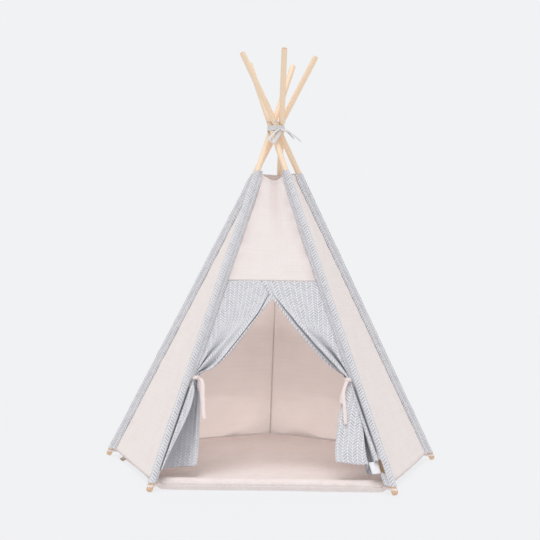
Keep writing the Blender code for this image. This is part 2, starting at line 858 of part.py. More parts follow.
def add_tie_bow(outline, parent):
    """The knot on the front of the band, one loop hanging to the left and two ends to the right."""
    outward = Vector((math.cos(BOW_ANGLE), math.sin(BOW_ANGLE), 0))
    across = UP.cross(outward)
    reach = max(point.dot(outward.xy) for point in outline)
    reach += HUB_RIBBON_THICKNESS / 2 + SEAM_GAP + BOW_KNOT_SIZE[1] / 2
    centre = outward * reach + UP * (CROSSING_HEIGHT + HUB_RIBBON_RISE - 0.004)
    knot = add_knot(
        "tie_bow", centre, across, outward, BOW_KNOT_SIZE, GREY_RIBBON, parent
    )

    def spot(right, forward, rise):
        return centre + across * right + outward * forward + UP * rise

    loop = [
        spot(0, 0.001, 0),
        spot(-0.022, 0.006, -0.016),
        spot(-0.045, 0.006, -0.036),
        spot(-0.053, 0.016, -0.047),
        spot(-0.038, 0.022, -0.043),
        spot(-0.015, 0.014, -0.020),
        spot(0, 0.003, -0.001),
    ]
    slanted = (across * 0.66 - UP * 0.66 + outward * 0.2).normalized()
    widths = [slanted] * len(loop)
    strips = [(loop, widths)]
    for right, rise in ((0.086, -0.041), (0.056, -0.034)):
        end = [
            spot(0.002, 0.007, 0),
            spot(right * 0.35, 0.012, rise * 0.2),
            spot(right * 0.7, 0.014, rise * 0.6),
            spot(right, 0.013, rise),
        ]
        level = (outward + UP * 0.12).normalized()
        strips.append((end, [level] * len(end)))
    for number, (path, directions) in enumerate(strips):
        ribbon = add_ribbon(
            f"tie_bow_{number}", path, directions, BOW_RIBBON_WIDTH, HUB_RIBBON_THICKNESS, 3
        )
        add_boolean(knot, ribbon, "UNION")
    return knot


# Labels


def sleeve_flank_point(share, height, lift):
    """A point over the flank of the front right sleeve that faces the doorway."""
    edge = sleeve_edge(FRONT_RIGHT, height, on_next_wall=False)
    clearance = SLEEVE_CLEARANCE + SLEEVE_THICKNESS / 2
    rim = pole_section_point(FRONT_RIGHT, height, math.pi / 2, clearance)
    out = (rim - edge).normalized()
    normal = Vector((out.y, -out.x, 0)).normalized()
    if normal.y > 0:
        normal = -normal
    return edge.lerp(rim, share) + normal * lift


def add_leather_label(parent):
    lift = SLEEVE_THICKNESS / 2 + SEAM_GAP + LABEL_THICKNESS / 2

    def surface(u, v):
        height = LEATHER_LABEL_HEIGHT + LEATHER_LABEL_SIZE[1] * v - 0.006 * u
        return sleeve_flank_point(blended(0.34, 0.92, u), height, lift)

    return add_cloth("label_leather", surface, 3, 3, LABEL_THICKNESS, LEATHER, parent)


def add_care_label(parent):
    lift = SLEEVE_THICKNESS / 2 + SEAM_GAP + LABEL_THICKNESS / 2

    def surface(u, v):
        height = CARE_LABEL_HEIGHT + CARE_LABEL_SIZE[1] * v - 0.003 * u
        start = sleeve_flank_point(0.2, height, lift)
        toward = wall_point(FRONT, 0, height) - wall_point(FRONT, 0.1, height)
        toward = toward.normalized()
        outward = UP.cross(toward)
        bend = 0.0030 * math.sin(math.pi * u)
        return start + toward * CARE_LABEL_SIZE[0] * u + outward * bend

    return add_cloth("label_care", surface, 4, 3, LABEL_THICKNESS, LABEL, parent)


def add_hem_tab(parent):
    """A small folded tab sewn over the hem of the left wall."""
    lift = WALL_HALF_CUT + SEAM_GAP + HEM_TAB_THICKNESS / 2

    def surface(u, v):
        height = HEM_TAB_HEIGHT + HEM_TAB_SIZE[1] * (v + 0.35 * abs(u - 0.5))
        along = HEM_TAB_ALONG + HEM_TAB_SIZE[0] * (u - 0.5)
        return wall_point(LEFT_SIDE, along, height, lift)

    return add_cloth("hem_tab", surface, 4, 2, HEM_TAB_THICKNESS, LEATHER, parent)


# Assembly


def build():
    mat = add_empty("mat_frame", Matrix.Identity(4))
    hub = add_empty("hub", Matrix.Translation((0, 0, HOLE_HEIGHT)), mat)
    hinges = [
        add_empty("hinge_" + CORNERS[corner], pole_matrix(corner), hub)
        for corner in range(len(CORNERS))
    ]
    bpy.context.view_layer.update()
    for corner, hinge in enumerate(hinges):
        add_pole(corner, hinge)
        add_sleeve(corner, hinge)
    add_lashing_cord(hub)
    add_wall("wall_back_left", BACK, hinges[BACK])
    add_wall("wall_left", LEFT_SIDE, hinges[LEFT_SIDE])
    add_wall("wall_right", FRONT_RIGHT, hinges[RIGHT_SIDE])
    add_wall("wall_back_right", RIGHT_SIDE, hinges[BACK])
    add_front_panel(hinges[FRONT_LEFT])
    add_hem_tab(hinges[LEFT_SIDE])
    curtains = (
        ("left", LEFT_FREE_EDGE, LEFT_HEM_RISE, False, hinges[FRONT_LEFT]),
        ("right", RIGHT_FREE_EDGE, RIGHT_HEM_RISE, True, hinges[FRONT_RIGHT]),
    )
    for side, free_edge, rise, mirrored, hinge in curtains:
        add_curtain("curtain_" + side, free_edge, rise, mirrored, hinge)
        face = add_tieback("tieback_" + side, free_edge, mirrored, hinge)
        name = f"tieback_{side}_ends"
        tails = TIE_TAILS[side]
        add_tieback_ends(name, mirrored, face, tails, hinge)
    add_leather_label(hinges[FRONT_RIGHT])
    add_care_label(hinges[FRONT_RIGHT])
    add_mat(mat)
    for corner in range(len(CORNERS)):
        add_mat_tie(corner, mat)
    outline = add_tie_band(hub)
    add_tie_bow(outline, hub)


build()
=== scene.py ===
import math

import bmesh
import bpy
import numpy as np
from mathutils import Matrix, Vector, noise
from mathutils.geometry import convex_hull_2d


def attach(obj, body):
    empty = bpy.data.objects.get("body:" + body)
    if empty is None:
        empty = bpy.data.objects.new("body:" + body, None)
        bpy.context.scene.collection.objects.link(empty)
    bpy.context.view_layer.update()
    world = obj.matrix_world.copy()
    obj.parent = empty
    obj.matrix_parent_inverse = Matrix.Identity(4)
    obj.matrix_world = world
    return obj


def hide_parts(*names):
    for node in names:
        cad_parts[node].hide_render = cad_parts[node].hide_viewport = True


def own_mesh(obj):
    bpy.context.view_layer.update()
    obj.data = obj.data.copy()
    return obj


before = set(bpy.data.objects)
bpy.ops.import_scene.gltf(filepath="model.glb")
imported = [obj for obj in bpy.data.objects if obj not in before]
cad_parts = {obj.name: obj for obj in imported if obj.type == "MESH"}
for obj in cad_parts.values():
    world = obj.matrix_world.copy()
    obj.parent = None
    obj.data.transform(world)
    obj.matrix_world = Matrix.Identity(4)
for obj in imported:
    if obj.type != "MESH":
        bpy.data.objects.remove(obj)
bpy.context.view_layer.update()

# The tent's own sizes, in metres, as in the part's source
POLE_LENGTH = 1.80
POLE_RADIUS = 0.011
FOOT_CIRCLE_RADIUS = 0.70
CROSSING_HEIGHT = 1.308
POLE_GAP = 0.0006
POLE_END_ROUND = 0.0075
HOLE_ABOVE_CROSSING = 0.026
HOLE_HEIGHT = CROSSING_HEIGHT + HOLE_ABOVE_CROSSING
COVER_TOP_HEIGHT = 1.138
WALL_TOP_HEIGHT = 1.131
BACK_WALL_TOP_HEIGHT = 1.139
FRONT_TOP_SAG = 0.030
HEM_CORNER_HEIGHT = 0.030
HEM_MIDDLE_DROP = 0.009
WALL_SAG = 0.016
WALL_THICKNESS = 0.0016
SLEEVE_FOOT_HEIGHT = 0.030
SLEEVE_REACH = 0.0165
SLEEVE_LENGTH = 1.2568
SLEEVE_THICKNESS = 0.0012
CURTAIN_SEAM_HEIGHT = 0.7145
CURTAIN_FOOT_HEIGHT = 0.07
CURTAIN_THICKNESS = 0.0011
TIE_HEIGHT = 0.372
TIE_WIDTH = 0.0125
MAT_APOTHEM = 0.526
MAT_THICKNESS = 0.038
MAT_REAR_RISE = 0.006

CORNERS = ("back", "left_side", "front_left", "front_right", "right_side")
BACK, LEFT_SIDE, FRONT_LEFT, FRONT_RIGHT, RIGHT_SIDE = range(5)
FRONT = FRONT_LEFT
TURN = 2 * math.pi / 5
UP = Vector((0, 0, 1))
LEAN_SLOPE = FOOT_CIRCLE_RADIUS / CROSSING_HEIGHT
LEAN = math.atan(LEAN_SLOPE)
WALL_SLOPE = LEAN_SLOPE * math.cos(TURN / 2)
WALL_STRETCH = math.sqrt(1 + WALL_SLOPE**2)
TWIST_RADIUS = (2 * POLE_RADIUS + POLE_GAP) * WALL_STRETCH / (2 * math.sin(TURN / 2))
POLE_CUT = POLE_RADIUS / math.cos(LEAN)
HOLE_INWARD = HOLE_ABOVE_CROSSING * LEAN_SLOPE
WALL_HALF_CUT = WALL_THICKNESS / 2 * WALL_STRETCH
SEAM_INSET = (POLE_CUT + 0.0005 + WALL_HALF_CUT) / math.cos(TURN / 2)
SEWN_LIFT = WALL_HALF_CUT + 0.0007
CURTAIN_GRAIN_END = 0.010


# Where each pole, corner seam and wall lies at a height


def corner_inward(corner):
    angle = math.pi / 2 + corner * TURN
    return Vector((-math.cos(angle), -math.sin(angle), 0))


def corner_sideways(corner):
    return UP.cross(corner_inward(corner))


def pole_axis_point(corner, height):
    inward = corner_inward(corner) * (height - CROSSING_HEIGHT) * LEAN_SLOPE
    return corner_sideways(corner) * TWIST_RADIUS + inward + UP * height


def pole_section_point(corner, height, angle, clearance):
    outward = -corner_inward(corner) * (POLE_CUT + clearance) * math.cos(angle)
    sideways = corner_sideways(corner) * (POLE_RADIUS + clearance) * math.sin(angle)
    return pole_axis_point(corner, height) + outward + sideways


def seam_point(corner, height):
    centre = pole_axis_point(corner, height)
    outward = Vector((centre.x, centre.y, 0)).normalized()
    return centre - outward * SEAM_INSET


def seam_direction(corner):
    return (seam_point(corner, 1.0) - seam_point(corner, 0.0)).normalized()


def wall_width(side, height):
    return (seam_point(side + 1, height) - seam_point(side, height)).length


FLOOR_WALL_WIDTH = wall_width(0, 0)


def wall_point(side, along, height, lift=0.0):
    start = seam_point(side, height)
    end = seam_point(side + 1, height)
    direction = (end - start).normalized()
    width = (end - start).length
    sag = WALL_SAG * (width / FLOOR_WALL_WIDTH) * math.sin(math.pi * along / width) ** 2
    sag *= math.sin(math.pi * min(1, 0.12 + height / COVER_TOP_HEIGHT))
    return start + direction * along + direction.cross(UP) * (lift - max(0, sag))


def front_point(mirrored, from_corner, height, lift):
    along = wall_width(FRONT, height) - from_corner if mirrored else from_corner
    return wall_point(FRONT, along, height, lift)


def pole_matrix(corner):
    """At the pole's lacing hole, with local Z up the pole and local X along the hole."""
    sideways = corner_sideways(corner)
    along = (corner_inward(corner) * LEAN_SLOPE + UP).normalized()
    turned = Matrix((sideways, along.cross(sideways), along)).transposed().to_4x4()
    return Matrix.Translation(pole_axis_point(corner, HOLE_HEIGHT)) @ turned


def pole_foot_drop():
    rim = POLE_RADIUS - POLE_END_ROUND
    end_height = POLE_END_ROUND + rim * math.sin(LEAN) - POLE_END_ROUND * math.cos(LEAN)
    return (HOLE_HEIGHT - end_height) / math.cos(LEAN)


def blended(a, b, t):
    return a + (b - a) * t


def eased(t):
    t = max(0.0, min(1.0, t))
    return t * t * (3 - 2 * t)


def ripple(x, y, z=0.0):
    """Smooth noise from -1 to 1, the same each time."""
    return noise.noise(Vector((x, y, z)))


def angles(count):
    return [i * 2 * math.pi / count for i in range(count)]


def run_along(points):
    """How far along a path each of its points lies."""
    runs = [0.0]
    for a, b in zip(points, points[1:]):
        runs.append(runs[-1] + (b - a).length)
    return runs


def point_along(points, runs, goal):
    i = min(len(runs) - 2, max(0, int(np.searchsorted(runs, goal)) - 1))
    t = (goal - runs[i]) / max(1e-9, runs[i + 1] - runs[i])
    return points[i].lerp(points[i + 1], t)


def spline_point(points, place, cyclic=False):
    count = len(points)
    last = count if cyclic else count - 1
    index = min(int(place), last - 1)
    t = place - index

    def at(i):
        return points[i % count] if cyclic else points[max(0, min(count - 1, i))]

    p0, p1, p2, p3 = (at(index + step) for step in (-1, 0, 1, 2))
    return (
        2 * p1
        + (p2 - p0) * t
        + (2 * p0 - 5 * p1 + 4 * p2 - p3) * t**2
        + (3 * p1 - p0 - 3 * p2 + p3) * t**3
    ) / 2


def spline_through(points, steps, cyclic=False):
    spans = len(points) if cyclic else len(points) - 1
    path = [spline_point(points, i / steps, cyclic) for i in range(spans * steps)]
    return path if cyclic else path + [points[-1]]


def table_curve(rows):
    """A smooth curve through rows of (place, values...), which never swings past its rows."""
    rows = np.array(sorted(rows), float)
    place, values = rows[:, 0], rows[:, 1:]
    slope = np.diff(values, axis=0) / np.diff(place)[:, None]
    tangent = np.zeros_like(values)
    for i in range(1, len(rows) - 1):
        same = slope[i - 1] * slope[i] > 0
        mean = 2 * slope[i - 1] * slope[i] / np.where(same, slope[i - 1] + slope[i], 1)
        tangent[i] = np.where(same, mean, 0)
    tangent[0], tangent[-1] = slope[0], slope[-1]

    def at(x):
        i = int(np.clip(np.searchsorted(place, x) - 1, 0, len(place) - 2))
        h = place[i + 1] - place[i]
        t = min(1.0, max(0.0, (x - place[i]) / h))
        a, b = values[i], values[i + 1]
        m, n = tangent[i] * h, tangent[i + 1] * h
        return (
            a * (1 + 2 * t) * (1 - t) ** 2
            + m * t * (1 - t) ** 2
            + b * t * t * (3 - 2 * t)
            + n * t * t * (t - 1)
        )

    return at


# Shader groups and materials

FLOAT, VECTOR, GEOMETRY = "NodeSocketFloat", "NodeSocketVector", "NodeSocketGeometry"


def tint(red, green, blue):
    """A display colour of 0 to 255 as the linear colour that a shader takes."""
    return (*(((c / 255 + 0.055) / 1.055) ** 2.4 for c in (red, green, blue)), 1)


def darker(colour, share):
    return (*(part * share for part in colour[:3]), 1)


class Nodes:
    """Adds nodes to one tree and links them, so that a material reads from top to bottom."""

    def __init__(self, tree):
        self.tree = tree

    def put(self, socket, value):
        if isinstance(value, bpy.types.NodeSocket):
            self.tree.links.new(value, socket)
        else:
            socket.default_value = value

    def add(self, kind, settings=(), values=(), **sockets):
        """A node with its settings, its first sockets in order and other sockets by name."""
        node = self.tree.nodes.new(kind)
        for name, value in dict(settings).items():
            setattr(node, name, value)
        for socket, value in zip(node.inputs, values):
            self.put(socket, value)
        for name, value in sockets.items():
            self.put(node.inputs[name.replace("_", " ")], value)
        return node

    def math(self, operation, *values):
        return self.add("ShaderNodeMath", {"operation": operation}, values).outputs[0]

    def times(self, value, factor):
        return self.math("MULTIPLY", value, factor)

    def vector(self, operation, *values):
        return self.add("ShaderNodeVectorMath", {"operation": operation}, values).outputs[0]

    def noise(self, vector, scale, detail=2.0, roughness=0.5, output="Fac"):
        sizes = {"Scale": scale, "Detail": detail, "Roughness": roughness}
        return self.add("ShaderNodeTexNoise", Vector=vector, **sizes).outputs[output]

    def steps(self, value, low, high, to_low=0.0, to_high=1.0):
        smooth = {"interpolation_type": "SMOOTHSTEP"}
        return self.add("ShaderNodeMapRange", smooth, (value, low, high, to_low, to_high)).outputs[0]

    def group(self, tree, **sockets):
        return self.add("ShaderNodeGroup", {"node_tree": tree}, **sockets).outputs

    def layers(self, base, *layers):
        """One colour over another, each with its own share."""
        for share, colour in layers:
            mix = self.add("ShaderNodeMix", {"data_type": "RGBA"})
            for index, value in ((0, share), (6, base), (7, colour)):
                self.put(mix.inputs[index], value)
            base = mix.outputs[2]
        return base


class Material(Nodes):
    """The nodes of one material, which link its colour, roughness and bump at the end."""

    def __init__(self, name, sheen=0.0, sheen_tint=(1, 1, 1, 1), sheen_roughness=0.5, specular=0.25):
        self.made = bpy.data.materials.new(name)
        self.made.use_nodes = True
        super().__init__(self.made.node_tree)
        self.set_shader(
            Specular_IOR_Level=specular,
            Sheen_Weight=sheen,
            Sheen_Roughness=sheen_roughness,
            Sheen_Tint=sheen_tint,
        )

    def set_shader(self, **sockets):
        shader = self.tree.nodes["Principled BSDF"]
        for name, value in sockets.items():
            self.put(shader.inputs[name.replace("_", " ")], value)

    def cloth(self):
        """The place on the flat cloth, in metres."""
        return self.add("ShaderNodeUVMap", {"uv_map": "cloth"}).outputs[0]

    def place(self):
        return self.add("ShaderNodeTexCoord").outputs["Object"]

    def attribute(self, name, output="Fac"):
        return self.add("ShaderNodeAttribute", {"attribute_name": name}).outputs[output]

    def finish(self, base, roughness, height, strength, distance):
        bump = self.add("ShaderNodeBump", Height=height, Strength=strength, Distance=distance)
        self.set_shader(Base_Color=base, Roughness=roughness, Normal=bump.outputs[0])
        return self.made


def make_tree(kind, name, inputs, outputs):
    """A node tree with named sockets; returns it with its Nodes and its two ends."""
    tree = bpy.data.node_groups.new(name, kind)
    for socket, type_, value in inputs:
        made = tree.interface.new_socket(name=socket, in_out="INPUT", socket_type=type_)
        if value is not None:
            made.default_value = value
    for socket, type_ in outputs:
        tree.interface.new_socket(name=socket, in_out="OUTPUT", socket_type=type_)
    given = tree.nodes.new("NodeGroupInput").outputs
    out = tree.nodes.new("NodeGroupOutput").inputs
    return tree, Nodes(tree), given, out


def make_weave_group():
    """Plain weave: threads pass over and under each other, a little uneven."""
    tree, n, given, out = make_tree(
        "ShaderNodeTree",
        "plain_weave",
        [("Cloth", VECTOR, None), ("Thread", FLOAT, 0.0006), ("Uneven", FLOAT, 0.3)],
        [("Height", FLOAT), ("Shade", FLOAT)],
    )
    wobble = n.noise(given["Cloth"], 90.0)
    turns = n.math("DIVIDE", math.pi, given["Thread"])
    scaled = n.add("ShaderNodeVectorMath", {"operation": "SCALE"}, [given["Cloth"]], Scale=turns)
    split = n.add("ShaderNodeSeparateXYZ", Vector=scaled.outputs[0])
    shift = n.math("MULTIPLY", wobble, given["Uneven"])
    across, up = (n.math("SINE", n.math("ADD", split.outputs[i], shift)) for i in (0, 1))
    over = n.math("GREATER_THAN", n.math("MULTIPLY", across, up), 0.0)
    height = n.math(
        "ADD",
        n.math("MULTIPLY", n.math("ABSOLUTE", across), over),
        n.math("MULTIPLY", n.math("ABSOLUTE", up), n.math("SUBTRACT", 1.0, over)),
    )
    n.put(out["Height"], height)
    n.put(out["Shade"], n.math("ADD", n.times(height, 0.5), n.times(wobble, 0.5)))
    return tree


def make_herringbone_group():
    """Columns of slanting dashes, mirrored in every other column, with light lines between them."""
    sizes = (("Column", 0.018), ("Pitch", 0.0103), ("Slant", 0.8), ("Line", 0.36))
    tree, n, given, out = make_tree(
        "ShaderNodeTree",
        "herringbone",
        [("Cloth", VECTOR, None)] + [(name, FLOAT, size) for name, size in sizes],
        [("Dash", FLOAT), ("Tone", FLOAT)],
    )
    wobble = n.noise(given["Cloth"], 260.0, 1.0, output="Color")
    drawn = n.vector("SUBTRACT", wobble, (0.5, 0.5, 0.5))
    drawn = n.vector("MULTIPLY", drawn, (0.0016, 0.0022, 0.0))
    split = n.add("ShaderNodeSeparateXYZ", Vector=n.vector("ADD", given["Cloth"], drawn))
    column = n.math("DIVIDE", split.outputs[0], given["Column"])
    slanting = n.math("PINGPONG", column, 1.0)
    rise = n.math("MULTIPLY", n.math("MULTIPLY", slanting, given["Column"]), given["Slant"])
    row = n.math("DIVIDE", n.math("ADD", split.outputs[1], rise), given["Pitch"])
    centre, side = (
        n.math("ABSOLUTE", n.math("SUBTRACT", n.math("FRACT", place), 0.5)) for place in (row, column)
    )
    half = n.times(n.math("SUBTRACT", 1.0, given["Line"]), 0.5)
    dash = n.steps(centre, n.math("SUBTRACT", half, 0.06), n.math("ADD", half, 0.06), 1.0, 0.0)
    within = n.steps(side, 0.41, 0.47, 1.0, 0.0)
    cell = n.add("ShaderNodeCombineXYZ", X=n.math("FLOOR", column), Y=n.math("FLOOR", row))
    tone = n.add("ShaderNodeTexWhiteNoise", Vector=cell.outputs[0])
    n.put(out["Dash"], n.math("MULTIPLY", dash, within))
    n.put(out["Tone"], tone.outputs["Value"])
    return tree


def make_pine_group():
    """Straight pine: rings seen along the side as streaks, fine fibres and a few dark flecks."""
    tree, n, given, out = make_tree(
        "ShaderNodeTree",
        "pine_grain",
        [("Grain", VECTOR, None), ("Ring", FLOAT, 0.0042), ("Fibre", FLOAT, 1.0)],
        [("Streak", FLOAT), ("Fleck", FLOAT), ("Height", FLOAT)],
    )

    def drawn_out(vector, share):
        return n.vector("MULTIPLY", vector, (1.0, 1.0, share))

    grain = given["Grain"]
    drift = n.noise(drawn_out(grain, 0.05), 40.0)
    flat = drawn_out(n.vector("ADD", grain, (0.034, 0.012, 0.0)), 0.015)
    distance = n.add("ShaderNodeVectorMath", {"operation": "LENGTH"}, [flat]).outputs["Value"]
    rings = n.math("ADD", n.math("DIVIDE", distance, given["Ring"]), n.times(drift, 1.6))
    fibres = n.noise(drawn_out(grain, 0.02), 1500.0, 3.0)
    fleck = n.noise(drawn_out(grain, 0.09), 620.0, 1.0)
    n.put(out["Streak"], n.math("POWER", n.math("FRACT", rings), 2.2))
    n.put(out["Fleck"], n.steps(fleck, 0.66, 0.78))
    n.put(out["Height"], n.math("MULTIPLY", fibres, given["Fibre"]))
    return tree


def make_pink_cotton():
    """Pale pink cotton with a faint woven diamond figure, and painted shade where the piece marks it."""
    n = Material("pale_pink_cotton", 0.12, (1, 0.96, 0.94, 1))
    cloth = n.cloth()
    weave = n.group(WEAVE, Cloth=cloth, Thread=0.0007, Uneven=0.5)
    figure = n.group(HERRINGBONE, Cloth=cloth, Column=0.0085, Pitch=0.0062, Slant=1.0, Line=0.5)
    slub = n.noise(n.vector("MULTIPLY", cloth, (1.4, 95.0, 1.0)), 2.0)
    base = n.layers(
        PINK_LIGHT,
        (figure["Dash"], PINK_FIGURE),
        (n.times(weave["Shade"], 0.20), PINK_DEEP),
        (n.steps(n.noise(cloth, 14.0, 3.0), 0.35, 0.7, 0.0, 0.18), PINK_DEEP),
        (n.steps(slub, 0.50, 0.72, 0.0, 0.30), PINK_DEEP),
        # Painted shade, as far as the piece's shade attribute marks it
        (n.times(n.attribute("shade"), 0.8), PINK_SHADE),
    )
    height = n.math("ADD", weave["Height"], n.times(figure["Dash"], 0.5))
    return n.finish(base, n.steps(weave["Height"], 0.0, 1.0, 0.97, 0.86), height, 0.30, 0.00022)


def make_herringbone_cotton():
    """White cotton printed with grey dashes, and painted shade where the piece marks it."""
    n = Material("grey_herringbone_cotton", 0.08)
    cloth = n.cloth()
    weave = n.group(WEAVE, Cloth=cloth, Thread=0.0006, Uneven=0.5)
    printed = n.group(HERRINGBONE, Cloth=cloth, Column=0.0166, Pitch=0.0107, Slant=0.95, Line=0.34)
    ink = n.math("MULTIPLY", printed["Dash"], n.steps(weave["Shade"], 0.0, 1.0, 0.80, 1.0))
    base = n.layers(
        LINE_WHITE,
        (ink, n.layers(DASH_DARK, (printed["Tone"], DASH_LIGHT))),
        (n.times(weave["Shade"], 0.10), DASH_DARK),
        # Painted shade in the curtains' deep folds and in the slits beside the sleeves, as the piece's
        # shade attribute marks it
        (n.times(n.attribute("shade"), 0.38), GREY_SHADE),
    )
    roughness = n.steps(weave["Height"], 0.0, 1.0, 0.97, 0.86)
    return n.finish(base, roughness, weave["Height"], 0.30, 0.00022)


def make_pine():
    """Bare pine dowel, sanded smooth."""
    n = Material("pale_pine", specular=0.4)
    pine = n.group(PINE, Grain=n.attribute("grain", "Vector"), Ring=0.0042, Fibre=1.0)
    base = n.layers(
        PINE_LIGHT,
        (n.times(pine["Streak"], 0.6), PINE_DARK),
        (n.times(pine["Fleck"], 0.10), PINE_FLECK),
        (n.times(pine["Height"], 0.22), PINE_DARK),
        # Darker at both rounded tips, where the end grain shows, and up the lowest part of the foot
        (n.times(n.attribute("dark_ends"), 0.8), PINE_DARK_ENDS),
    )
    return n.finish(base, n.steps(pine["Height"], 0.3, 0.7, 0.42, 0.58), pine["Height"], 0.25, 0.0003)


def make_tape(name, light, dark):
    """Woven tape with fine ribs across it."""
    rib = 0.0011
    n = Material(name, 0.15)
    cloth = n.cloth()
    weave = n.group(WEAVE, Cloth=cloth, Thread=rib / 2, Uneven=0.4)
    split = n.add("ShaderNodeSeparateXYZ", Vector=cloth)
    ribs = n.math("SINE", n.times(split.outputs[1], 2 * math.pi / rib))
    patchy = n.noise(cloth, 60.0)
    base = n.layers(
        light, (n.times(weave["Shade"], 0.35), dark), (n.steps(patchy, 0.4, 0.75, 0.0, 0.25), dark)
    )
    height = n.math("ADD", weave["Height"], n.times(ribs, 0.4))
    return n.finish(base, n.steps(patchy, 0.3, 0.7, 0.74, 0.88), height, 0.35, 0.00025)


def make_plush():
    """Short soft plush: the pile lies in small tufts and shifts from lighter to deeper pink."""
    n = Material("pale_pink_plush", 0.35, (1, 0.94, 0.92, 1), 0.45)
    place = n.place()
    tufts = n.noise(place, 330.0, 4.0, 0.62)
    strokes = n.noise(n.vector("MULTIPLY", place, (1.0, 0.55, 1.0)), 34.0, 3.0)
    base = n.layers(
        PLUSH_DEEP,
        (n.steps(tufts, 0.32, 0.68), PLUSH_LIGHT),
        (n.steps(strokes, 0.40, 0.66, 0.0, 0.35), PLUSH_LIGHT),
        (n.steps(n.noise(place, 6.0), 0.4, 0.65, 0.0, 0.25), PLUSH_DEEP),
    )
    height = n.math("ADD", tufts, n.times(strokes, 0.5))
    return n.finish(base, n.steps(tufts, 0.3, 0.7, 1.0, 0.92), height, 0.7, 0.0022)


def make_label():
    """Smooth white satin label, bare."""
    n = Material("white_satin_label", 0.2)
    cloth = n.cloth()
    weave = n.group(WEAVE, Cloth=cloth, Thread=0.0003, Uneven=0.2)
    patchy = n.noise(cloth, 120.0)
    base = n.layers(SATIN_LIGHT, (n.steps(patchy, 0.4, 0.7, 0.0, 0.5), SATIN_DARK))
    return n.finish(base, n.steps(patchy, 0.3, 0.7, 0.4, 0.55), weave["Height"], 0.2, 0.00012)


def make_leather(name, light, dark):
    """Matt leather with a fine pebbled grain."""
    n = Material(name)
    cloth = n.cloth()
    pebbles = n.add("ShaderNodeTexVoronoi", Vector=cloth, Scale=900.0).outputs["Distance"]
    broad = n.noise(cloth, 180.0, 3.0)
    base = n.layers(
        dark,
        (n.steps(broad, 0.35, 0.7), light),
        (n.steps(pebbles, 0.3, 0.7, 0.0, 0.3), darker(dark, 0.7)),
    )
    return n.finish(base, n.steps(broad, 0.3, 0.7, 0.52, 0.7), pebbles, 0.4, 0.0003)


def make_thread(name, colour):
    """Sewing thread, twisted."""
    n = Material(name, 0.1)
    twist = n.noise(n.place(), 1400.0)
    base = n.layers(colour, (n.steps(twist, 0.3, 0.7, 0.0, 0.4), darker(colour, 0.86)))
    return n.finish(base, n.steps(twist, 0.3, 0.7, 0.6, 0.8), twist, 0.15, 0.0001)


def make_cord_material():
    """White braided cord."""
    n = Material("white_cord", 0.1)
    braid = n.group(HERRINGBONE, Cloth=n.cloth(), Column=0.0017, Pitch=0.0016, Slant=0.9, Line=0.3)
    base = n.layers(CORD_DARK, (braid["Dash"], CORD_LIGHT))
    return n.finish(base, n.steps(braid["Tone"], 0.0, 1.0, 0.74, 0.86), braid["Dash"], 0.5, 0.0004)


STUDIO = tint(241, 242, 244)
STUDIO_LIGHT = tint(244, 242, 242)
GLOW = (1.0, 0.97, 0.95)
PINK_LIGHT = tint(247, 242, 240)
PINK_FIGURE = tint(236, 226, 222)
PINK_DEEP = tint(230, 218, 214)
PINK_SHADE = tint(221, 204, 202)
LINE_WHITE = tint(238, 238, 241)
DASH_LIGHT = tint(203, 204, 209)
DASH_DARK = tint(180, 181, 188)
GREY_SHADE = tint(92, 94, 106)
PINE_LIGHT = tint(254, 233, 208)
PINE_DARK = tint(241, 205, 168)
PINE_FLECK = tint(208, 166, 124)
# The darker tone of the dowel's tips and foot
PINE_DARK_ENDS = tint(204, 158, 116)
PLUSH_LIGHT = tint(248, 241, 239)
PLUSH_DEEP = tint(232, 217, 213)
SATIN_LIGHT = tint(243, 243, 246)
SATIN_DARK = tint(226, 227, 232)
CORD_LIGHT = tint(238, 235, 230)
CORD_DARK = tint(196, 190, 182)
WEAVE = make_weave_group()
HERRINGBONE = make_herringbone_group()
PINE = make_pine_group()
PINK_COTTON = make_pink_cotton()
HERRINGBONE_COTTON = make_herringbone_cotton()
PINE_WOOD = make_pine()
PINK_TAPE = make_tape("pink_ribbon", tint(246, 235, 232), tint(230, 210, 205))
GREY_TAPE = make_tape("light_grey_ribbon", tint(233, 231, 231), tint(206, 204, 206))
PLUSH = make_plush()
SATIN = make_label()
LEATHER = make_leather("brown_leather", tint(168, 138, 110), tint(142, 112, 86))
TAB_LEATHER = make_leather("taupe_leather", tint(190, 172, 156), tint(170, 150, 134))
PINK_THREAD = make_thread("pink_thread", tint(250, 240, 236))
WHITE_THREAD = make_thread("white_thread", tint(232, 233, 237))
CORD = make_cord_material()


# Meshes and pieces


def add_object(name, data):
    made = bpy.data.objects.new(name, data)
    bpy.context.scene.collection.objects.link(made)
    return made


def add_piece(name, points, faces, material, cloth=None):
    """A mesh in place, with the flat cloth's own metres as its UV map where they are given."""
    mesh = bpy.data.meshes.new(name)
    mesh.from_pydata([tuple(p) for p in points], [], [tuple(f) for f in faces])
    if cloth is not None:
        layer = mesh.uv_layers.new(name="cloth")
        corner = np.zeros(len(mesh.loops), np.int32)
        mesh.loops.foreach_get("vertex_index", corner)
        layer.data.foreach_set("uv", np.asarray(cloth, np.float32)[corner].ravel())
    mesh.update()
    mesh.shade_smooth()
    mesh.materials.append(material)
    return add_object(name, mesh)


def grid_faces(columns, rows, cyclic=False):
    wide = columns if cyclic else columns + 1
    return [
        (r * wide + c, r * wide + d, (r + 1) * wide + d, (r + 1) * wide + c)
        for r in range(rows)
        for c, d in ((c, (c + 1) % wide) for c in range(columns))
    ]


def add_grid(name, surface, columns, rows, material, cut):
    """A sheet whose points are surface(u, v); cut(u, v) is the same point on the flat cloth."""
    spots = [(c / columns, r / rows) for r in range(rows + 1) for c in range(columns + 1)]
    points = [surface(u, v) for u, v in spots]
    cloth = [cut(u, v) for u, v in spots]
    return add_piece(name, points, grid_faces(columns, rows), material, cloth)


def mark_points(piece, name, values, kind="FLOAT"):
    """A value for each point, which the piece's material reads by its name."""
    layer = piece.data.attributes.new(name, kind, "POINT")
    key = "value" if kind == "FLOAT" else "vector"
    layer.data.foreach_set(key, np.asarray(values, np.float32).ravel())


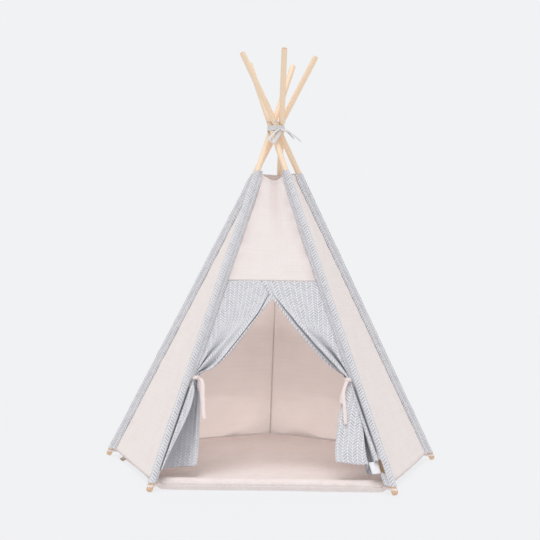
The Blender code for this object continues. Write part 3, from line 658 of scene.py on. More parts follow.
def apply_modifiers(piece):
    """The piece's evaluated shape becomes its mesh, and its modifiers go."""
    bpy.context.view_layer.update()
    shown = piece.evaluated_get(bpy.context.evaluated_depsgraph_get())
    mesh = bpy.data.meshes.new_from_object(shown)
    piece.modifiers.clear()
    old = piece.data
    piece.data = mesh
    bpy.data.meshes.remove(old)
    mesh.name = piece.name


def thicken(piece, thickness):
    """Gives a sheet its thickness, half of it on each side."""
    solidify = piece.modifiers.new("thickness", "SOLIDIFY")
    solidify.thickness = thickness
    solidify.offset = 0.0
    apply_modifiers(piece)
    return piece


def fold_with_pole(piece, corner, toward):
    """Gives the cloth a mesh of its own; the seam's direction and the span toward the other side are worked
    out but not used. toward is the side it spans to.
    """
    edge = seam_direction(corner)
    span = seam_point(toward, 0.5) - seam_point(corner, 0.5)
    seam_point(corner, 0.5)
    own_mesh(piece)


def finish_piece(piece, body, *nodes, fold=None):
    """Attaches it to its body, hides the CAD parts that it stands for and, where two corners are given,
    gives it a mesh of its own.
    """
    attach(piece, body)
    if nodes:
        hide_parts(*nodes)
    if fold:
        fold_with_pole(piece, *fold)


def make_stitch_tree():
    """Short thread stitches in a row along each line of a mesh."""
    tree, n, given, out = make_tree(
        "GeometryNodeTree",
        "stitches",
        [
            ("Lines", GEOMETRY, None),
            ("Pitch", FLOAT, 0.0045),
            ("Length", FLOAT, 0.0031),
            ("Thickness", FLOAT, 0.0008),
            ("Seed", "NodeSocketInt", 7),
            ("Thread", "NodeSocketMaterial", None),
        ],
        [("Stitches", GEOMETRY)],
    )
    line = n.add("GeometryNodeMeshToCurve", Mesh=given["Lines"]).outputs[0]
    spaced = n.add("GeometryNodeResampleCurve", {"mode": "LENGTH"}, Curve=line, Length=given["Pitch"])
    half = n.times(given["Thickness"], 0.5)
    shape = n.add("ShaderNodeCombineXYZ", X=half, Y=half, Z=n.times(given["Length"], 0.5))
    bead = n.add("GeometryNodeMeshUVSphere", Segments=6, Rings=5, Radius=1.0).outputs["Mesh"]
    stitch = n.add("GeometryNodeTransform", Geometry=bead, Scale=shape.outputs[0]).outputs[0]
    tangent = n.add("GeometryNodeInputTangent").outputs[0]
    turned = n.add("FunctionNodeAlignRotationToVector", {"axis": "Z"}, Vector=tangent).outputs[0]
    uneven = n.add("FunctionNodeRandomValue", {"data_type": "FLOAT"}, Seed=given["Seed"])
    n.put(uneven.inputs[2], 0.85)
    n.put(uneven.inputs[3], 1.10)
    placed = n.add(
        "GeometryNodeInstanceOnPoints",
        Points=spaced.outputs[0],
        Instance=stitch,
        Rotation=turned,
        Scale=uneven.outputs[1],
    )
    real = n.add("GeometryNodeRealizeInstances", Geometry=placed.outputs[0]).outputs[0]
    sewn = n.add("GeometryNodeSetMaterial", Geometry=real, Material=given["Thread"]).outputs[0]
    n.put(out["Stitches"], sewn)
    return tree


STITCHES = make_stitch_tree()


def sew(name, lines, thread, body, fold=None, **sizes):
    """One mesh of stitches along the lines, which are lists of points."""
    points, edges = [], []
    for line in lines:
        start = len(points)
        points += [tuple(point) for point in line]
        edges += [(start + i, start + i + 1) for i in range(len(line) - 1)]
    mesh = bpy.data.meshes.new(name)
    mesh.from_pydata(points, edges, [])
    mesh.materials.append(thread)
    piece = add_object(name, mesh)
    sewing = piece.modifiers.new("stitches", "NODES")
    sewing.node_group = STITCHES
    named = {item.name: item.identifier for item in STITCHES.interface.items_tree}
    for key, value in {"Thread": thread, **sizes}.items():
        sewing[named[key]] = value
    apply_modifiers(piece)
    piece.data.shade_smooth()
    finish_piece(piece, body, fold=fold)


# Poles


def add_pole(corner):
    """A turned dowel with round ends, drilled across for the lacing cord."""
    sides, end_steps, shaft_steps = 40, 7, 24
    drop = pole_foot_drop()
    profile = []
    for step in range(end_steps + 1):
        angle = math.pi / 2 * (1 - step / end_steps)
        reach = POLE_RADIUS - POLE_END_ROUND * (1 - math.cos(angle))
        profile.append((reach, POLE_END_ROUND * (1 - math.sin(angle))))
    top_end = [(reach, POLE_LENGTH - height) for reach, height in reversed(profile)]
    for step in range(1, shaft_steps):
        height = blended(POLE_END_ROUND, POLE_LENGTH - POLE_END_ROUND, step / shaft_steps)
        profile.append((POLE_RADIUS, height))
    profile += top_end
    points = [
        Vector((reach * math.cos(a), reach * math.sin(a), height - drop))
        for reach, height in profile
        for a in angles(sides)
    ]
    last = (len(profile) - 1) * sides
    faces = grid_faces(sides, len(profile) - 1, cyclic=True)
    faces += [tuple(reversed(range(sides))), tuple(range(last, last + sides))]
    pole = add_piece("dowel_" + CORNERS[corner], points, faces, PINE_WOOD)
    drill = add_tube("drill", [Vector((-0.02, 0, 0)), Vector((0.02, 0, 0))], 0.0029, 20, PINE_WOOD)
    cut = pole.modifiers.new("hole", "BOOLEAN")
    cut.object = drill
    cut.solver = "EXACT"
    apply_modifiers(pole)
    bpy.data.objects.remove(drill)
    local = np.array([v.co for v in pole.data.vertices], np.float32)
    # Darker on the end grain within 4.5 mm of either tip, and on the foot, fading out 11 cm up from its end
    beyond = np.abs(local[:, 2] + drop - POLE_LENGTH / 2) - POLE_LENGTH / 2 + 0.0045
    foot = np.clip((0.11 - local[:, 2] - drop) / 0.08, 0, 0.65)
    mark_points(pole, "dark_ends", np.maximum(np.clip(beyond / 0.003, 0, 1), foot))
    local += np.array([0.31, 0.17, 1.9]) * (corner + 1)
    mark_points(pole, "grain", local, "FLOAT_VECTOR")
    pole.data.transform(pole_matrix(corner))
    pole.data.shade_smooth()
    pole.data.set_sharp_from_angle(angle=math.radians(40))
    finish_piece(pole, CORNERS[corner] + "_pole", "pole_" + CORNERS[corner])


def add_tube(name, path, radius, sides, material, cyclic=False):
    """A round cord along a path, with its girth and length as cloth metres."""
    count = len(path)
    points, cloth = [], []
    normal = None
    for i, (place, run) in enumerate(zip(path, run_along(path))):
        ahead = path[(i + 1) % count] if cyclic or i + 1 < count else place
        behind = path[i - 1] if cyclic or i else place
        along = (ahead - behind).normalized()
        if normal is None:
            normal = along.orthogonal().normalized()
        normal = (normal - along * normal.dot(along)).normalized()
        side = along.cross(normal)
        for a in angles(sides):
            points.append(place + (normal * math.cos(a) + side * math.sin(a)) * radius)
            cloth.append((a * radius, run))
    faces = grid_faces(sides, count - 1, cyclic=True)
    last = (count - 1) * sides
    if cyclic:
        shift = min(range(sides), key=lambda k: (points[last + k] - points[0]).length)
        faces += [
            (last + (s + shift) % sides, last + (s + shift + 1) % sides, (s + 1) % sides, s)
            for s in range(sides)
        ]
    else:
        faces += [tuple(reversed(range(sides))), tuple(range(last, last + sides))]
    return add_piece(name, points, faces, material, cloth)


# Sleeves over the poles


def doorway_tuck(corner, height, on_next_wall):
    """Beside the drawn curtains the front sleeves turn in behind their poles, from 0 to 1."""
    tuck = eased((0.376 - height) / 0.03)
    if corner == FRONT_LEFT and on_next_wall:
        return tuck
    if corner == FRONT_RIGHT and not on_next_wall:
        return tuck * eased((height - 0.122) / 0.025)
    return 0.0


def sleeve_edge(corner, height, on_next_wall):
    tuck = doorway_tuck(corner, height, on_next_wall)
    lift = blended(SEWN_LIFT + SLEEVE_THICKNESS / 2, -0.006, tuck)
    reach = blended(SLEEVE_REACH, 0.0055, tuck)
    reach -= 0.009 * eased((height - 1.095) / (COVER_TOP_HEIGHT - 1.095))
    if on_next_wall:
        return wall_point(corner, reach, height, lift)
    side = corner - 1
    return wall_point(side, wall_width(side, height) - reach, height, lift)


def sleeve_section(corner, height):
    """Points across the sleeve at a height, from one sewn edge over the pole to the other."""
    clearance = 0.0006 + SLEEVE_THICKNESS / 2
    first, last = (sleeve_edge(corner, height, on_next) for on_next in (True, False))
    start = -math.radians(90 + 50 * doorway_tuck(corner, height, True))
    end = math.radians(90 + 50 * doorway_tuck(corner, height, False))
    over = [
        pole_section_point(corner, height, blended(start, end, i / 16), clearance) for i in range(17)
    ]
    before = [first.lerp(over[0], t / 5) for t in range(5)]
    return before + over + [over[-1].lerp(last, t / 5) for t in range(1, 6)]


def add_sleeve(corner):
    rows, columns = 170, 44
    hem_width, most_lift = 0.010, 0.0032
    body = CORNERS[corner] + "_pole"
    points, cloth = [], []
    for r in range(rows + 1):
        v = r / rows
        section = sleeve_section(corner, blended(SLEEVE_FOOT_HEIGHT, COVER_TOP_HEIGHT, v))
        run = v * (COVER_TOP_HEIGHT - SLEEVE_FOOT_HEIGHT) / math.cos(LEAN)
        widths = run_along(section)
        from_end = min(run, SLEEVE_LENGTH - run)
        hem = eased((hem_width - from_end) / 0.003)
        middle = (section[0] + section[-1]) / 2
        for u in (c / columns for c in range(columns + 1)):
            goal = u * widths[-1]
            spot = point_along(section, widths, goal)
            near_edge = min(u, 1 - u)
            free = eased(near_edge / 0.12)
            loose = max(0.0, ripple(u * 4.2 + 9 * corner, run * 21.0, 3.1 * corner))
            pucker = max(0.0, ripple(u * 2.0, run * 95.0, 7.7 + corner))
            pucker *= 1 - eased(near_edge / 0.22)
            lift = (0.0026 * loose * free + 0.0011 * pucker + 0.0005 * hem) * min(1.0, free + 0.3)
            away = spot - middle
            away.z = 0
            points.append(spot + away.normalized() * min(lift, most_lift))
            cloth.append((goal - widths[-1] / 2, run))
    name = "sleeve_cloth_" + CORNERS[corner]
    sleeve = add_piece(name, points, grid_faces(columns, rows), HERRINGBONE_COTTON, cloth)
    thicken(sleeve, SLEEVE_THICKNESS)
    sleeve.data.set_sharp_from_angle(angle=math.radians(50))
    finish_piece(sleeve, body, "sleeve_" + CORNERS[corner])
    halfway = sleeve_section(corner, blended(SLEEVE_FOOT_HEIGHT, COVER_TOP_HEIGHT, 0.5))
    flat = (run_along(halfway)[-1], SLEEVE_LENGTH)
    sew_sleeve(corner, body)


def sew_sleeve(corner, body):
    """A row of stitches along both edges of the sleeve, and one down the inside of the seam."""
    lines = []
    for last in (False, True):
        foot = 0.385 if (corner, last) in ((FRONT_LEFT, False), (FRONT_RIGHT, True)) else 0.045
        line = []
        for i in range(121):
            section = sleeve_section(corner, blended(foot, 1.130, i / 120))
            edge, rim = (section[-1], section[-6]) if last else (section[0], section[5])
            toward = (rim - edge).normalized()
            normal = toward.cross(seam_direction(corner)) * (1 if last else -1)
            line.append(edge + toward * 0.0028 + normal.normalized() * 0.0010)
        lines.append(line)
    sew("stitches_sleeve_" + CORNERS[corner], lines, WHITE_THREAD, body)
    low, high = (0.73, 1.08) if corner in (FRONT_LEFT, FRONT_RIGHT) else (0.05, 1.12)
    inset = corner_inward(corner) * (WALL_HALF_CUT / math.cos(TURN / 2) + 0.0022)
    inner = [seam_point(corner, blended(low, high, i / 60)) + inset for i in range(61)]
    sizes = {"Pitch": 0.0052, "Length": 0.0046, "Thickness": 0.0026}
    sew("stitches_seam_" + CORNERS[corner], [inner], PINK_THREAD, body, **sizes)


# Walls


def wall_wrinkle(side, u, height, width):
    """How far the cloth stands off its even sag: broad soft waves, and puckers along the seams."""
    from_edge = min(u, 1 - u) * width
    open_part = eased(from_edge / 0.10)
    wave = ripple(u * 3.1 + 5.3 * side, height * 1.5, side * 2.7) * 0.0042
    wave += ripple(u * 7.5 + 2.1 * side, height * 3.4, 11 + side) * 0.0016
    pull = ripple(from_edge * 9.0, height * 26.0, 3.3 * side) * 0.0014
    pull *= 1 - eased(from_edge / 0.09)
    return wave * open_part + pull * eased(from_edge / 0.012)


def wall_surface(side, u, height, lift=0.0):
    width = wall_width(side, height)
    ease = 0.0004
    along = blended(ease, width - ease, u)
    return wall_point(side, along, height, wall_wrinkle(side, u, height, width) + lift)


def hem_height(side, u):
    even = HEM_CORNER_HEIGHT - HEM_MIDDLE_DROP * math.sin(math.pi * u)
    return even + 0.0012 * ripple(u * 16, side * 4.4)


def flat_wall_point(side, foot, u, v):
    height = blended(foot, WALL_TOP_HEIGHT, v)
    return ((u - 0.5) * wall_width(side, height), height * WALL_STRETCH)


def finish_wall(wall, node, side, foot, corner, other):
    """A wall is stretched between two poles, and rides on the first one."""
    thicken(wall, WALL_THICKNESS)
    finish_piece(wall, CORNERS[corner] + "_pole", node, fold=(corner, other))
    low, high = wall_width(side, foot), wall_width(side, WALL_TOP_HEIGHT)


def add_wall(name, side, corner, other, top=WALL_TOP_HEIGHT):
    def surface(u, v):
        hem = hem_height(side, u)
        height = blended(hem, top, v)
        return wall_surface(side, u, height, 0.0005 * eased((hem + 0.014 - height) / 0.002))

    def cut(u, v):
        return flat_wall_point(side, HEM_CORNER_HEIGHT, u, v)

    wall = add_grid("wall_cloth_" + name, surface, 96, 120, PINK_COTTON, cut)
    finish_wall(wall, "wall_" + name, side, HEM_CORNER_HEIGHT, corner, other)
    hem = [
        wall_surface(side, u, hem_height(side, u) + 0.012, SEWN_LIFT)
        for u in (0.04 + 0.92 * i / 90 for i in range(91))
    ]
    sew("stitches_wall_" + name, [hem], PINK_THREAD, CORNERS[corner] + "_pole", (corner, other))


def panel_slack(height):
    return eased((height - 0.84) / 0.24)


def panel_fold(u, height):
    """The slack folds below the panel's top edge, from -1 to 1."""
    return math.cos(2 * math.pi * (u - 0.26) / 0.56 - 1.3 * (WALL_TOP_HEIGHT - height))


def panel_surface(u, height, lift=0.0):
    """Below its slack top edge the panel hangs in folds that fade out downwards."""
    fade = panel_slack(height) * math.sin(math.pi * u) ** 0.4
    return wall_surface(FRONT, u, height, lift + fade * 0.0075 * panel_fold(u, height))


def panel_top(u):
    return WALL_TOP_HEIGHT - FRONT_TOP_SAG * math.sin(math.pi * u**1.25)


def panel_shade(u, height):
    """Painted shade: darker in the valleys of the slack folds, and a little pinker in uneven patches along
    its seams, where the cloth puckers.
    """
    from_edge = min(u, 1 - u) * wall_width(FRONT, height)
    # How strong the painted seam shade is, unevenly along the seam
    patchy = 0.8 + 0.9 * ripple(u * 3, height * 26, 4.0)
    seam = 0.55 * eased((0.060 - from_edge) / 0.045)
    return 0.75 * panel_slack(height) * max(0, -panel_fold(u, height)) + seam * patchy


def add_front_panel():
    columns, rows = 72, 64
    fold = (FRONT_LEFT, FRONT_RIGHT)

    def surface(u, v):
        return panel_surface(u, blended(CURTAIN_SEAM_HEIGHT + 0.0005, panel_top(u), v))

    def cut(u, v):
        return flat_wall_point(FRONT, CURTAIN_SEAM_HEIGHT, u, v)

    panel = add_grid("door_panel", surface, columns, rows, PINK_COTTON, cut)
    heights = [blended(CURTAIN_SEAM_HEIGHT, WALL_TOP_HEIGHT, r / rows) for r in range(rows + 1)]
    # Painted shade for each point of the panel, which its material reads
    shades = [panel_shade(c / columns, height) for height in heights for c in range(columns + 1)]
    mark_points(panel, "shade", np.clip(shades, 0, 2))
    finish_wall(panel, "front_panel", FRONT, CURTAIN_SEAM_HEIGHT, *fold)
    spots = [0.06 + 0.88 * i / 60 for i in range(61)]
    top = [panel_surface(u, panel_top(u) - 0.009, SEWN_LIFT) for u in spots]
    seam = [panel_surface(u, CURTAIN_SEAM_HEIGHT + 0.005, SEWN_LIFT) for u in spots]
    sew("stitches_panel", [top, seam], PINK_THREAD, "front_left_pole", fold)


# Doorway curtains. Each line runs down the cloth from its seam: the cloth's own place across in
# mm, its hem's height, and rows of height, distance from the corner in mm and lift in mm.

LEFT_CURTAIN = (
    (0, 0.068, (
        (0.7145, 13, -1.2), (0.52, 13, -1.2), (0.46, 17.6, -1.2), (0.435, 18, 1), (0.41, 15.5, 6),
        (0.384, 11.8, 10.5), (0.36, 11, 8), (0.345, 8, 1), (0.32, 5, -9), (0.25, 4, -14), (0.07, 5, -12),
    )),
    (14, 0.068, (
        (0.7145, 28, -1.2), (0.52, 22, -1.3), (0.46, 21, -1), (0.435, 19.5, 2), (0.41, 16.2, 8),
        (0.384, 12.2, 13), (0.36, 13, 13.5), (0.335, 12.5, 15), (0.3, 12, 15.5), (0.25, 11, 16),
        (0.15, 8.5, 17), (0.07, 6, 18),
    )),
    (42, 0.069, (
        (0.7145, 60, -1.1), (0.6, 54, -1.3), (0.52, 44, -2), (0.46, 32, -1), (0.42, 22, 3), (0.384, 13, 15),
        (0.36, 14, 15), (0.335, 17.5, 17.5), (0.3, 18, 18), (0.25, 17.5, 18), (0.15, 14, 19),
        (0.07, 8.5, 21),
    )),
    (100, 0.07, (
        (0.7145, 118, -1.1), (0.6, 100, -2), (0.55, 84.5, -5), (0.518, 73.5, -9), (0.49, 63, -13),
        (0.457, 41, -16), (0.435, 30, -16), (0.413, 21, -13), (0.384, 14.5, 6), (0.36, 15, 8),
        (0.335, 22, 15), (0.3, 24, 15), (0.25, 25, 14.5), (0.15, 17, 17), (0.07, 9, 21),
    )),
    (122, 0.071, (
        (0.7145, 142, -1.1), (0.6, 120, -0.6), (0.55, 103, 2), (0.5, 80, 6), (0.457, 57, 8), (0.435, 43, 9),
        (0.41, 29, 12), (0.384, 17, 15), (0.36, 17.5, 15), (0.335, 26, 14), (0.322, 31, 13.5),
        (0.273, 35.6, 13), (0.228, 32.8, 13), (0.175, 24, 15), (0.132, 17, 17.5), (0.085, 11, 20),
        (0.07, 9.5, 20.5),
    )),
    (146, 0.072, (
        (0.7145, 166, -1.1), (0.6, 143, -1.2), (0.55, 122, -1), (0.47, 86, -3), (0.435, 66, -9),
        (0.4145, 52, -14), (0.399, 37, -14), (0.384, 19, -4), (0.36, 19, -4), (0.335, 23, -8),
        (0.32, 24, -14), (0.27, 26, -24), (0.228, 25, -26), (0.175, 20, -25), (0.13, 15, -18),
        (0.07, 10, 0),
    )),
    (160, 0.07, (
        (0.7145, 180, -1.1), (0.6, 155, -1.0), (0.55, 135, 0), (0.48, 106, 1.5), (0.45, 92, 4),
        (0.42, 73, 8), (0.4, 53, 11), (0.384, 21.5, 14), (0.36, 22, 10), (0.335, 27, -10), (0.3, 34, -22),
        (0.25, 40, -32), (0.2, 39, -37), (0.15, 36, -38), (0.07, 34, -30),
    )),
    (172, 0.072, (
        (0.7145, 190, -1.1), (0.653, 173.5, -1.1), (0.6, 161, -0.6), (0.55, 140, 1), (0.4815, 109, 2.2),
        (0.4494, 94, 4), (0.419, 77, 7), (0.4036, 63, 9), (0.384, 25.5, 13), (0.36, 24.5, -3),
        (0.335, 32, -13), (0.3, 44, -23), (0.25, 54, -33), (0.15, 68, -42), (0.07, 74, -44),
    )),
    (175, 0.074, (
        (0.7145, 193, -2), (0.653, 178.5, -8), (0.6, 165, -13), (0.55, 143, -14), (0.4815, 111, -14),
        (0.4494, 95.5, -14), (0.419, 77, -12), (0.4036, 62.5, -9), (0.384, 26, 1), (0.36, 27, 0),
        (0.3073, 45, -16), (0.2244, 68, -27), (0.1593, 85, -35), (0.07, 104, -43),
    )),
    (182, 0.075, (
        (0.7145, 196, -1.3), (0.653, 182, -0.4), (0.6, 168.5, 0.6), (0.55, 146, 1.5), (0.4815, 114.5, 2.6),
        (0.4494, 99, 4), (0.419, 79.5, 6), (0.4036, 65, 7), (0.384, 28, 7), (0.36, 28, 5), (0.3, 51, -14),
        (0.2244, 73, -27), (0.16, 91, -36), (0.07, 112, -44),
    )),
    (188, 0.076, (
        (0.7145, 204.5, -1.8), (0.648, 195.2, -1.5), (0.606, 176.6, -1), (0.569, 159.5, -0.4),
        (0.518, 137.4, 0.4), (0.48, 121, 1.2), (0.452, 106.4, 2.4), (0.419, 83, 4.5), (0.4, 62, 6),
        (0.384, 30, 9), (0.36, 31, 7), (0.302, 56, -12), (0.2774, 64, -17), (0.2111, 83, -29),
        (0.1245, 108, -40), (0.07, 119.5, -45),
    )),
)
RIGHT_CURTAIN = (
    (0, 0.107, (
        (0.7145, 13, 0.4), (0.52, 13, 0.4), (0.46, 17.6, 0.4), (0.435, 18, 1.5), (0.41, 15.5, 6),
        (0.384, 11.8, 10.5), (0.36, 11, 8), (0.345, 8, 1), (0.32, 5, -9), (0.25, 4, -14), (0.18, 4, -11),
        (0.15, 7, 3), (0.14, 8.5, 10), (0.125, 9, 13.5), (0.07, 9, 14),
    )),
    (16, 0.107, (
        (0.7145, 32, 0.5), (0.52, 24, 0.4), (0.46, 21, 0.4), (0.435, 19.5, 2), (0.41, 16.2, 8),
        (0.384, 12.2, 13), (0.36, 13, 13.5), (0.335, 14, 15), (0.3, 14, 16), (0.25, 13.5, 17),
        (0.15, 12, 17.5), (0.125, 11, 18), (0.07, 10.5, 18),
    )),
    (62, 0.104, (
        (0.7145, 80, 1.1), (0.6, 68, 0.8), (0.52, 50, 0), (0.47, 36, 0), (0.44, 26, 1), (0.414, 19, 5),
        (0.384, 13, 14), (0.36, 15, 15), (0.335, 18.5, 17), (0.3, 19.5, 17), (0.25, 20, 17),
        (0.15, 21.5, 16), (0.07, 22, 16),
    )),
    (140, 0.061, (
        (0.7145, 158, 1.1), (0.6, 128, 0.6), (0.56, 111, -1.5), (0.526, 93, -7), (0.5065, 76.5, -12),
        (0.4885, 66, -15), (0.4685, 50, -18), (0.4458, 37, -19), (0.419, 24, -17), (0.4, 18, -10),
        (0.384, 14.5, 3), (0.36, 15, 3), (0.335, 20, -2), (0.3, 22, -8), (0.25, 24, -14), (0.15, 30, -20),
        (0.07, 38, -24),
    )),
    (158, 0.062, (
        (0.7145, 174, 1.1), (0.648, 158, 1.4), (0.6, 143, 2.2), (0.5735, 125, 4), (0.5407, 108, 7),
        (0.5051, 89, 10), (0.4885, 78, 11), (0.4685, 64, 12), (0.4458, 51, 12.5), (0.419, 36, 13),
        (0.3964, 24, 14), (0.384, 18, 15), (0.36, 17, 12), (0.335, 22, -4), (0.3, 28, -12), (0.25, 37, -18),
        (0.15, 52, -22), (0.07, 62, -24),
    )),
    (176, 0.094, (
        (0.7145, 194, 1.1), (0.6717, 188, 1.3), (0.648, 177, 2), (0.6218, 163.5, 3), (0.5911, 147, 4),
        (0.5628, 133.5, 5), (0.5407, 121, 6), (0.5051, 101, 8), (0.4881, 92, 9), (0.4705, 80, 9.5),
        (0.4479, 66.5, 10), (0.4256, 52, 10.5), (0.3964, 34, 12), (0.384, 23, 13), (0.36, 21, 12),
        (0.345, 19, 13), (0.3175, 18.5, 13), (0.285, 18, 13), (0.2626, 19.5, 12), (0.2056, 23.5, 11),
        (0.1534, 34, 10), (0.11, 43, 9), (0.07, 48, 8.5),
    )),
    (181, 0.094, (
        (0.7145, 196, 0.2), (0.6717, 187, -1.5), (0.648, 173.5, -5), (0.6218, 158.5, -9),
        (0.5911, 141, -11), (0.5628, 127, -12), (0.5407, 114, -12), (0.5051, 94, -12), (0.4705, 74, -12),
        (0.4479, 60, -12), (0.4256, 46, -11), (0.3964, 30, -9), (0.384, 23.5, -5), (0.36, 24, 2),
        (0.345, 25, 10), (0.3175, 28, 12.5), (0.285, 32, 12.5), (0.2056, 48, 12), (0.1534, 60, 11),
        (0.07, 74, 10),
    )),
    (191, 0.097, (
        (0.7145, 203, 0.5), (0.6717, 193, -0.6), (0.648, 182.5, -3), (0.6218, 170.5, -5.5),
        (0.5911, 155.5, -6), (0.5628, 141.5, -6), (0.5407, 128.5, -6), (0.5051, 108, -5.5),
        (0.4705, 89, -5), (0.4479, 75, -5), (0.4256, 60, -5), (0.4036, 42, -3), (0.384, 26, 5),
        (0.36, 27, 6), (0.335, 36, 9), (0.285, 53, 12), (0.2056, 80, 12), (0.15, 95, 11), (0.07, 112, 10),
    )),
    (198, 0.1, (
        (0.7145, 209, 0.9), (0.6717, 200, 0.1), (0.648, 190, -1.6), (0.6218, 178, -3.4), (0.5911, 164, -4),
        (0.5628, 150, -4), (0.5219, 126, -4), (0.4705, 98, -5), (0.4369, 78, -6), (0.4138, 59, -5),
        (0.399, 45, -3), (0.384, 28, -2), (0.36, 29, 1), (0.335, 41, 4), (0.285, 64, 7), (0.2056, 98, 8),
        (0.15, 121, 7), (0.07, 142, 6),
    )),
    (204, 0.101, (
        (0.7145, 214, 1.1), (0.6862, 207, 0.9), (0.648, 194.8, -0.5), (0.6272, 184, -1.4),
        (0.5766, 163, -1.6), (0.5219, 133.2, -2), (0.502, 123, -2.4), (0.4643, 101.0, -3),
        (0.4369, 84.5, -3.4), (0.4138, 65, -2), (0.4, 49, 1), (0.384, 30, 6), (0.36, 31, 7), (0.345, 37, 6),
        (0.3, 59, 4), (0.2395, 92, 4), (0.1738, 119, 3.5), (0.1009, 148, 3), (0.07, 154, 3),
    )),
)
# How much of the cloth that is taken up in folds lies before each line, above the tie and below it
LEFT_HIDDEN = (
    (0, 0, 0, 0.30, 0.40, 0.72, 0.76, 0.80, 0.95, 1, 1),
    (0, 0, 0, 0, 0.15, 0.85, 1, 1, 1, 1, 1),
)
RIGHT_HIDDEN = ((0, 0, 0, 0.50, 0.66, 0.70, 0.92, 1, 1, 1), (0, 0, 0, 0.6, 0.8, 1, 1, 1, 1, 1))


def add_curtain(side, table, hidden, corner, other):
    """One sheet of cloth from its seam through the tie to its hem, shaped by its fold lines."""
    mirrored = corner == FRONT_RIGHT
    lines = [table_curve(rows) for _, _, rows in table]
    places = [place for place, _, _ in table]
    hems = [Vector((hem, 0)) for _, hem, _ in table]
    spots = [0.0]
    for gap, (a, b) in enumerate(zip(places, places[1:])):
        steps = max(7, round((b - a) / 1.9))
        spots += [gap + (i + 1) / steps for i in range(steps)]
    rows = 132
    points, cloth, edge, recess_shades = [], [], [], []
    for r in range(rows + 1):
        height = blended(CURTAIN_SEAM_HEIGHT, CURTAIN_FOOT_HEIGHT, r / rows)
        section = [Vector(line(height)) for line in lines]
        gathered = eased((0.62 - height) / 0.2)
        level = [spline_point(section, spot) for spot in spots]
        row, ups = [], []
        for spot, (distance, lift) in zip(spots, level):
            # Painted shade: darker where this cloth lies deeper than the folds beside it, up to twice as
            # dark in the slit beside the sleeve, and fading out toward the seam at the top
            over = max(b.y - 0.6 * abs(b.x - distance) for b in level[::2])
            slit = 1 + eased((0.95 - spot) / 0.4)
            recess_shades.append(min(1.0, (over - lift - 1.5) / 24) * slit * eased((0.70 - height) / 0.06))
            actual = height
            if height < TIE_HEIGHT:
                drop = (TIE_HEIGHT - height) * (TIE_HEIGHT - spline_point(hems, spot).x)
                actual = TIE_HEIGHT - drop / (TIE_HEIGHT - CURTAIN_FOOT_HEIGHT)
            small = ripple(spot * 1.7 + 3, height * 30, 5 if mirrored else 9) * 0.8 * gathered
            row.append(front_point(mirrored, distance / 1000, actual, (lift + small) / 1000))
            ups.append(actual)
        points += row
        runs = run_along(row)
        distance, lift = spline_point(section, len(lines) - 1.5)
        edge.append(front_point(mirrored, distance / 1000, ups[-1], (lift + 1.1) / 1000))
        outer = row[0].x * (-1 if mirrored else 1)
        spare = CURTAIN_GRAIN_END - outer - runs[-1]
        above = eased((0.66 - height) / 0.10)
        below = eased((0.385 - height) / 0.03)
        for spot, run, up in zip(spots, runs, ups):
            gap = min(int(spot), len(places) - 2)
            high, low = (blended(part[gap], part[gap + 1], eased(spot - gap)) for part in hidden)
            share = blended(blended(run / runs[-1], high, above), low, below)
            cloth.append((outer + run + spare * share, up * WALL_STRETCH))
    name, node, body = f"doorway_curtain_{side}", f"curtain_{side}", CORNERS[corner] + "_pole"
    curtain = add_piece(name, points, grid_faces(len(spots) - 1, rows), HERRINGBONE_COTTON, cloth)
    mark_points(curtain, "shade", np.clip(recess_shades, 0, 2))
    thicken(curtain, CURTAIN_THICKNESS)
    finish_piece(curtain, body, node, fold=(corner, other))
    sew("stitches_" + node, [edge[2:-1]], WHITE_THREAD, body, (corner, other))


# Ribbons and their knots


def hull_outline(points, spread):
    """The tight line round the points at this distance, without points that nearly coincide."""
    grown = [
        Vector((p[0] + spread * math.cos(a), p[1] + spread * math.sin(a)))
        for p in points
        for a in angles(16)
    ]
    outline = []
    for index in convex_hull_2d(grown):
        if not outline or (grown[index] - outline[-1]).length > 0.0012:
            outline.append(grown[index])
    if (outline[0] - outline[-1]).length < 0.0012:
        outline.pop()
    return outline


def add_band(name, outline, place, width, thickness, material, pinch=0.0, turns=0.0):
    """A closed strap: place(point, rise) sets each point of its outline, this far over its middle."""
    count, rows = 96, 8
    closed = outline + [outline[0]]
    runs = run_along(closed)
    even = [point_along(closed, runs, runs[-1] * i / count) for i in range(count)]
    points, cloth = [], []
    for r in range(rows + 1):
        share = r / rows - 0.5
        for i, (spot, angle) in enumerate(zip(even, angles(count))):
            wave = pinch * ripple(i * 0.16 + 4.0, share * 1.4, 2.0)
            rise = width * share * (1 + 0.04 * ripple(i * 0.3, 1.0)) + turns * math.sin(angle)
            points.append(place(spot, rise) + UP * wave)
            cloth.append((width * share, runs[-1] * i / count))
    band = add_piece(name, points, grid_faces(count, rows, cyclic=True), material, cloth)
    return thicken(band, thickness)


def add_ribbon(name, path, widths, width, thickness, material, cup):
    """A ribbon along a smooth path; widths gives the direction across it at each point."""
    steps, columns = 8, 6
    rows = (len(path) - 1) * steps
    centres = [spline_point(path, r / steps) for r in range(rows + 1)]
    points, cloth = [], []
    for r, (centre, run) in enumerate(zip(centres, run_along(centres))):
        place = r / steps
        ahead = spline_point(path, min(len(path) - 1, place + 0.02))
        behind = spline_point(path, max(0, place - 0.02))
        across = spline_point(widths, place).normalized()
        face = across.cross((ahead - behind).normalized())
        for share in (c / columns - 0.5 for c in range(columns + 1)):
            points.append(centre + across * share * width + face * cup * (1 - 4 * share * share))
            cloth.append((share * width, run))
    ribbon = add_piece(name, points, grid_faces(columns, rows), material, cloth)
    return thicken(ribbon, thickness)


def join_pieces(name, pieces):
    """One piece of several, in the first one's material."""
    mesh = bpy.data.meshes.new(name)
    bm = bmesh.new()
    for piece in pieces:
        bm.from_mesh(piece.data)
    bm.to_mesh(mesh)
    bm.free()
    mesh.materials.append(pieces[0].data.materials[0])
    mesh.shade_smooth()
    for piece in pieces:
        bpy.data.objects.remove(piece)
    return add_object(name, mesh)


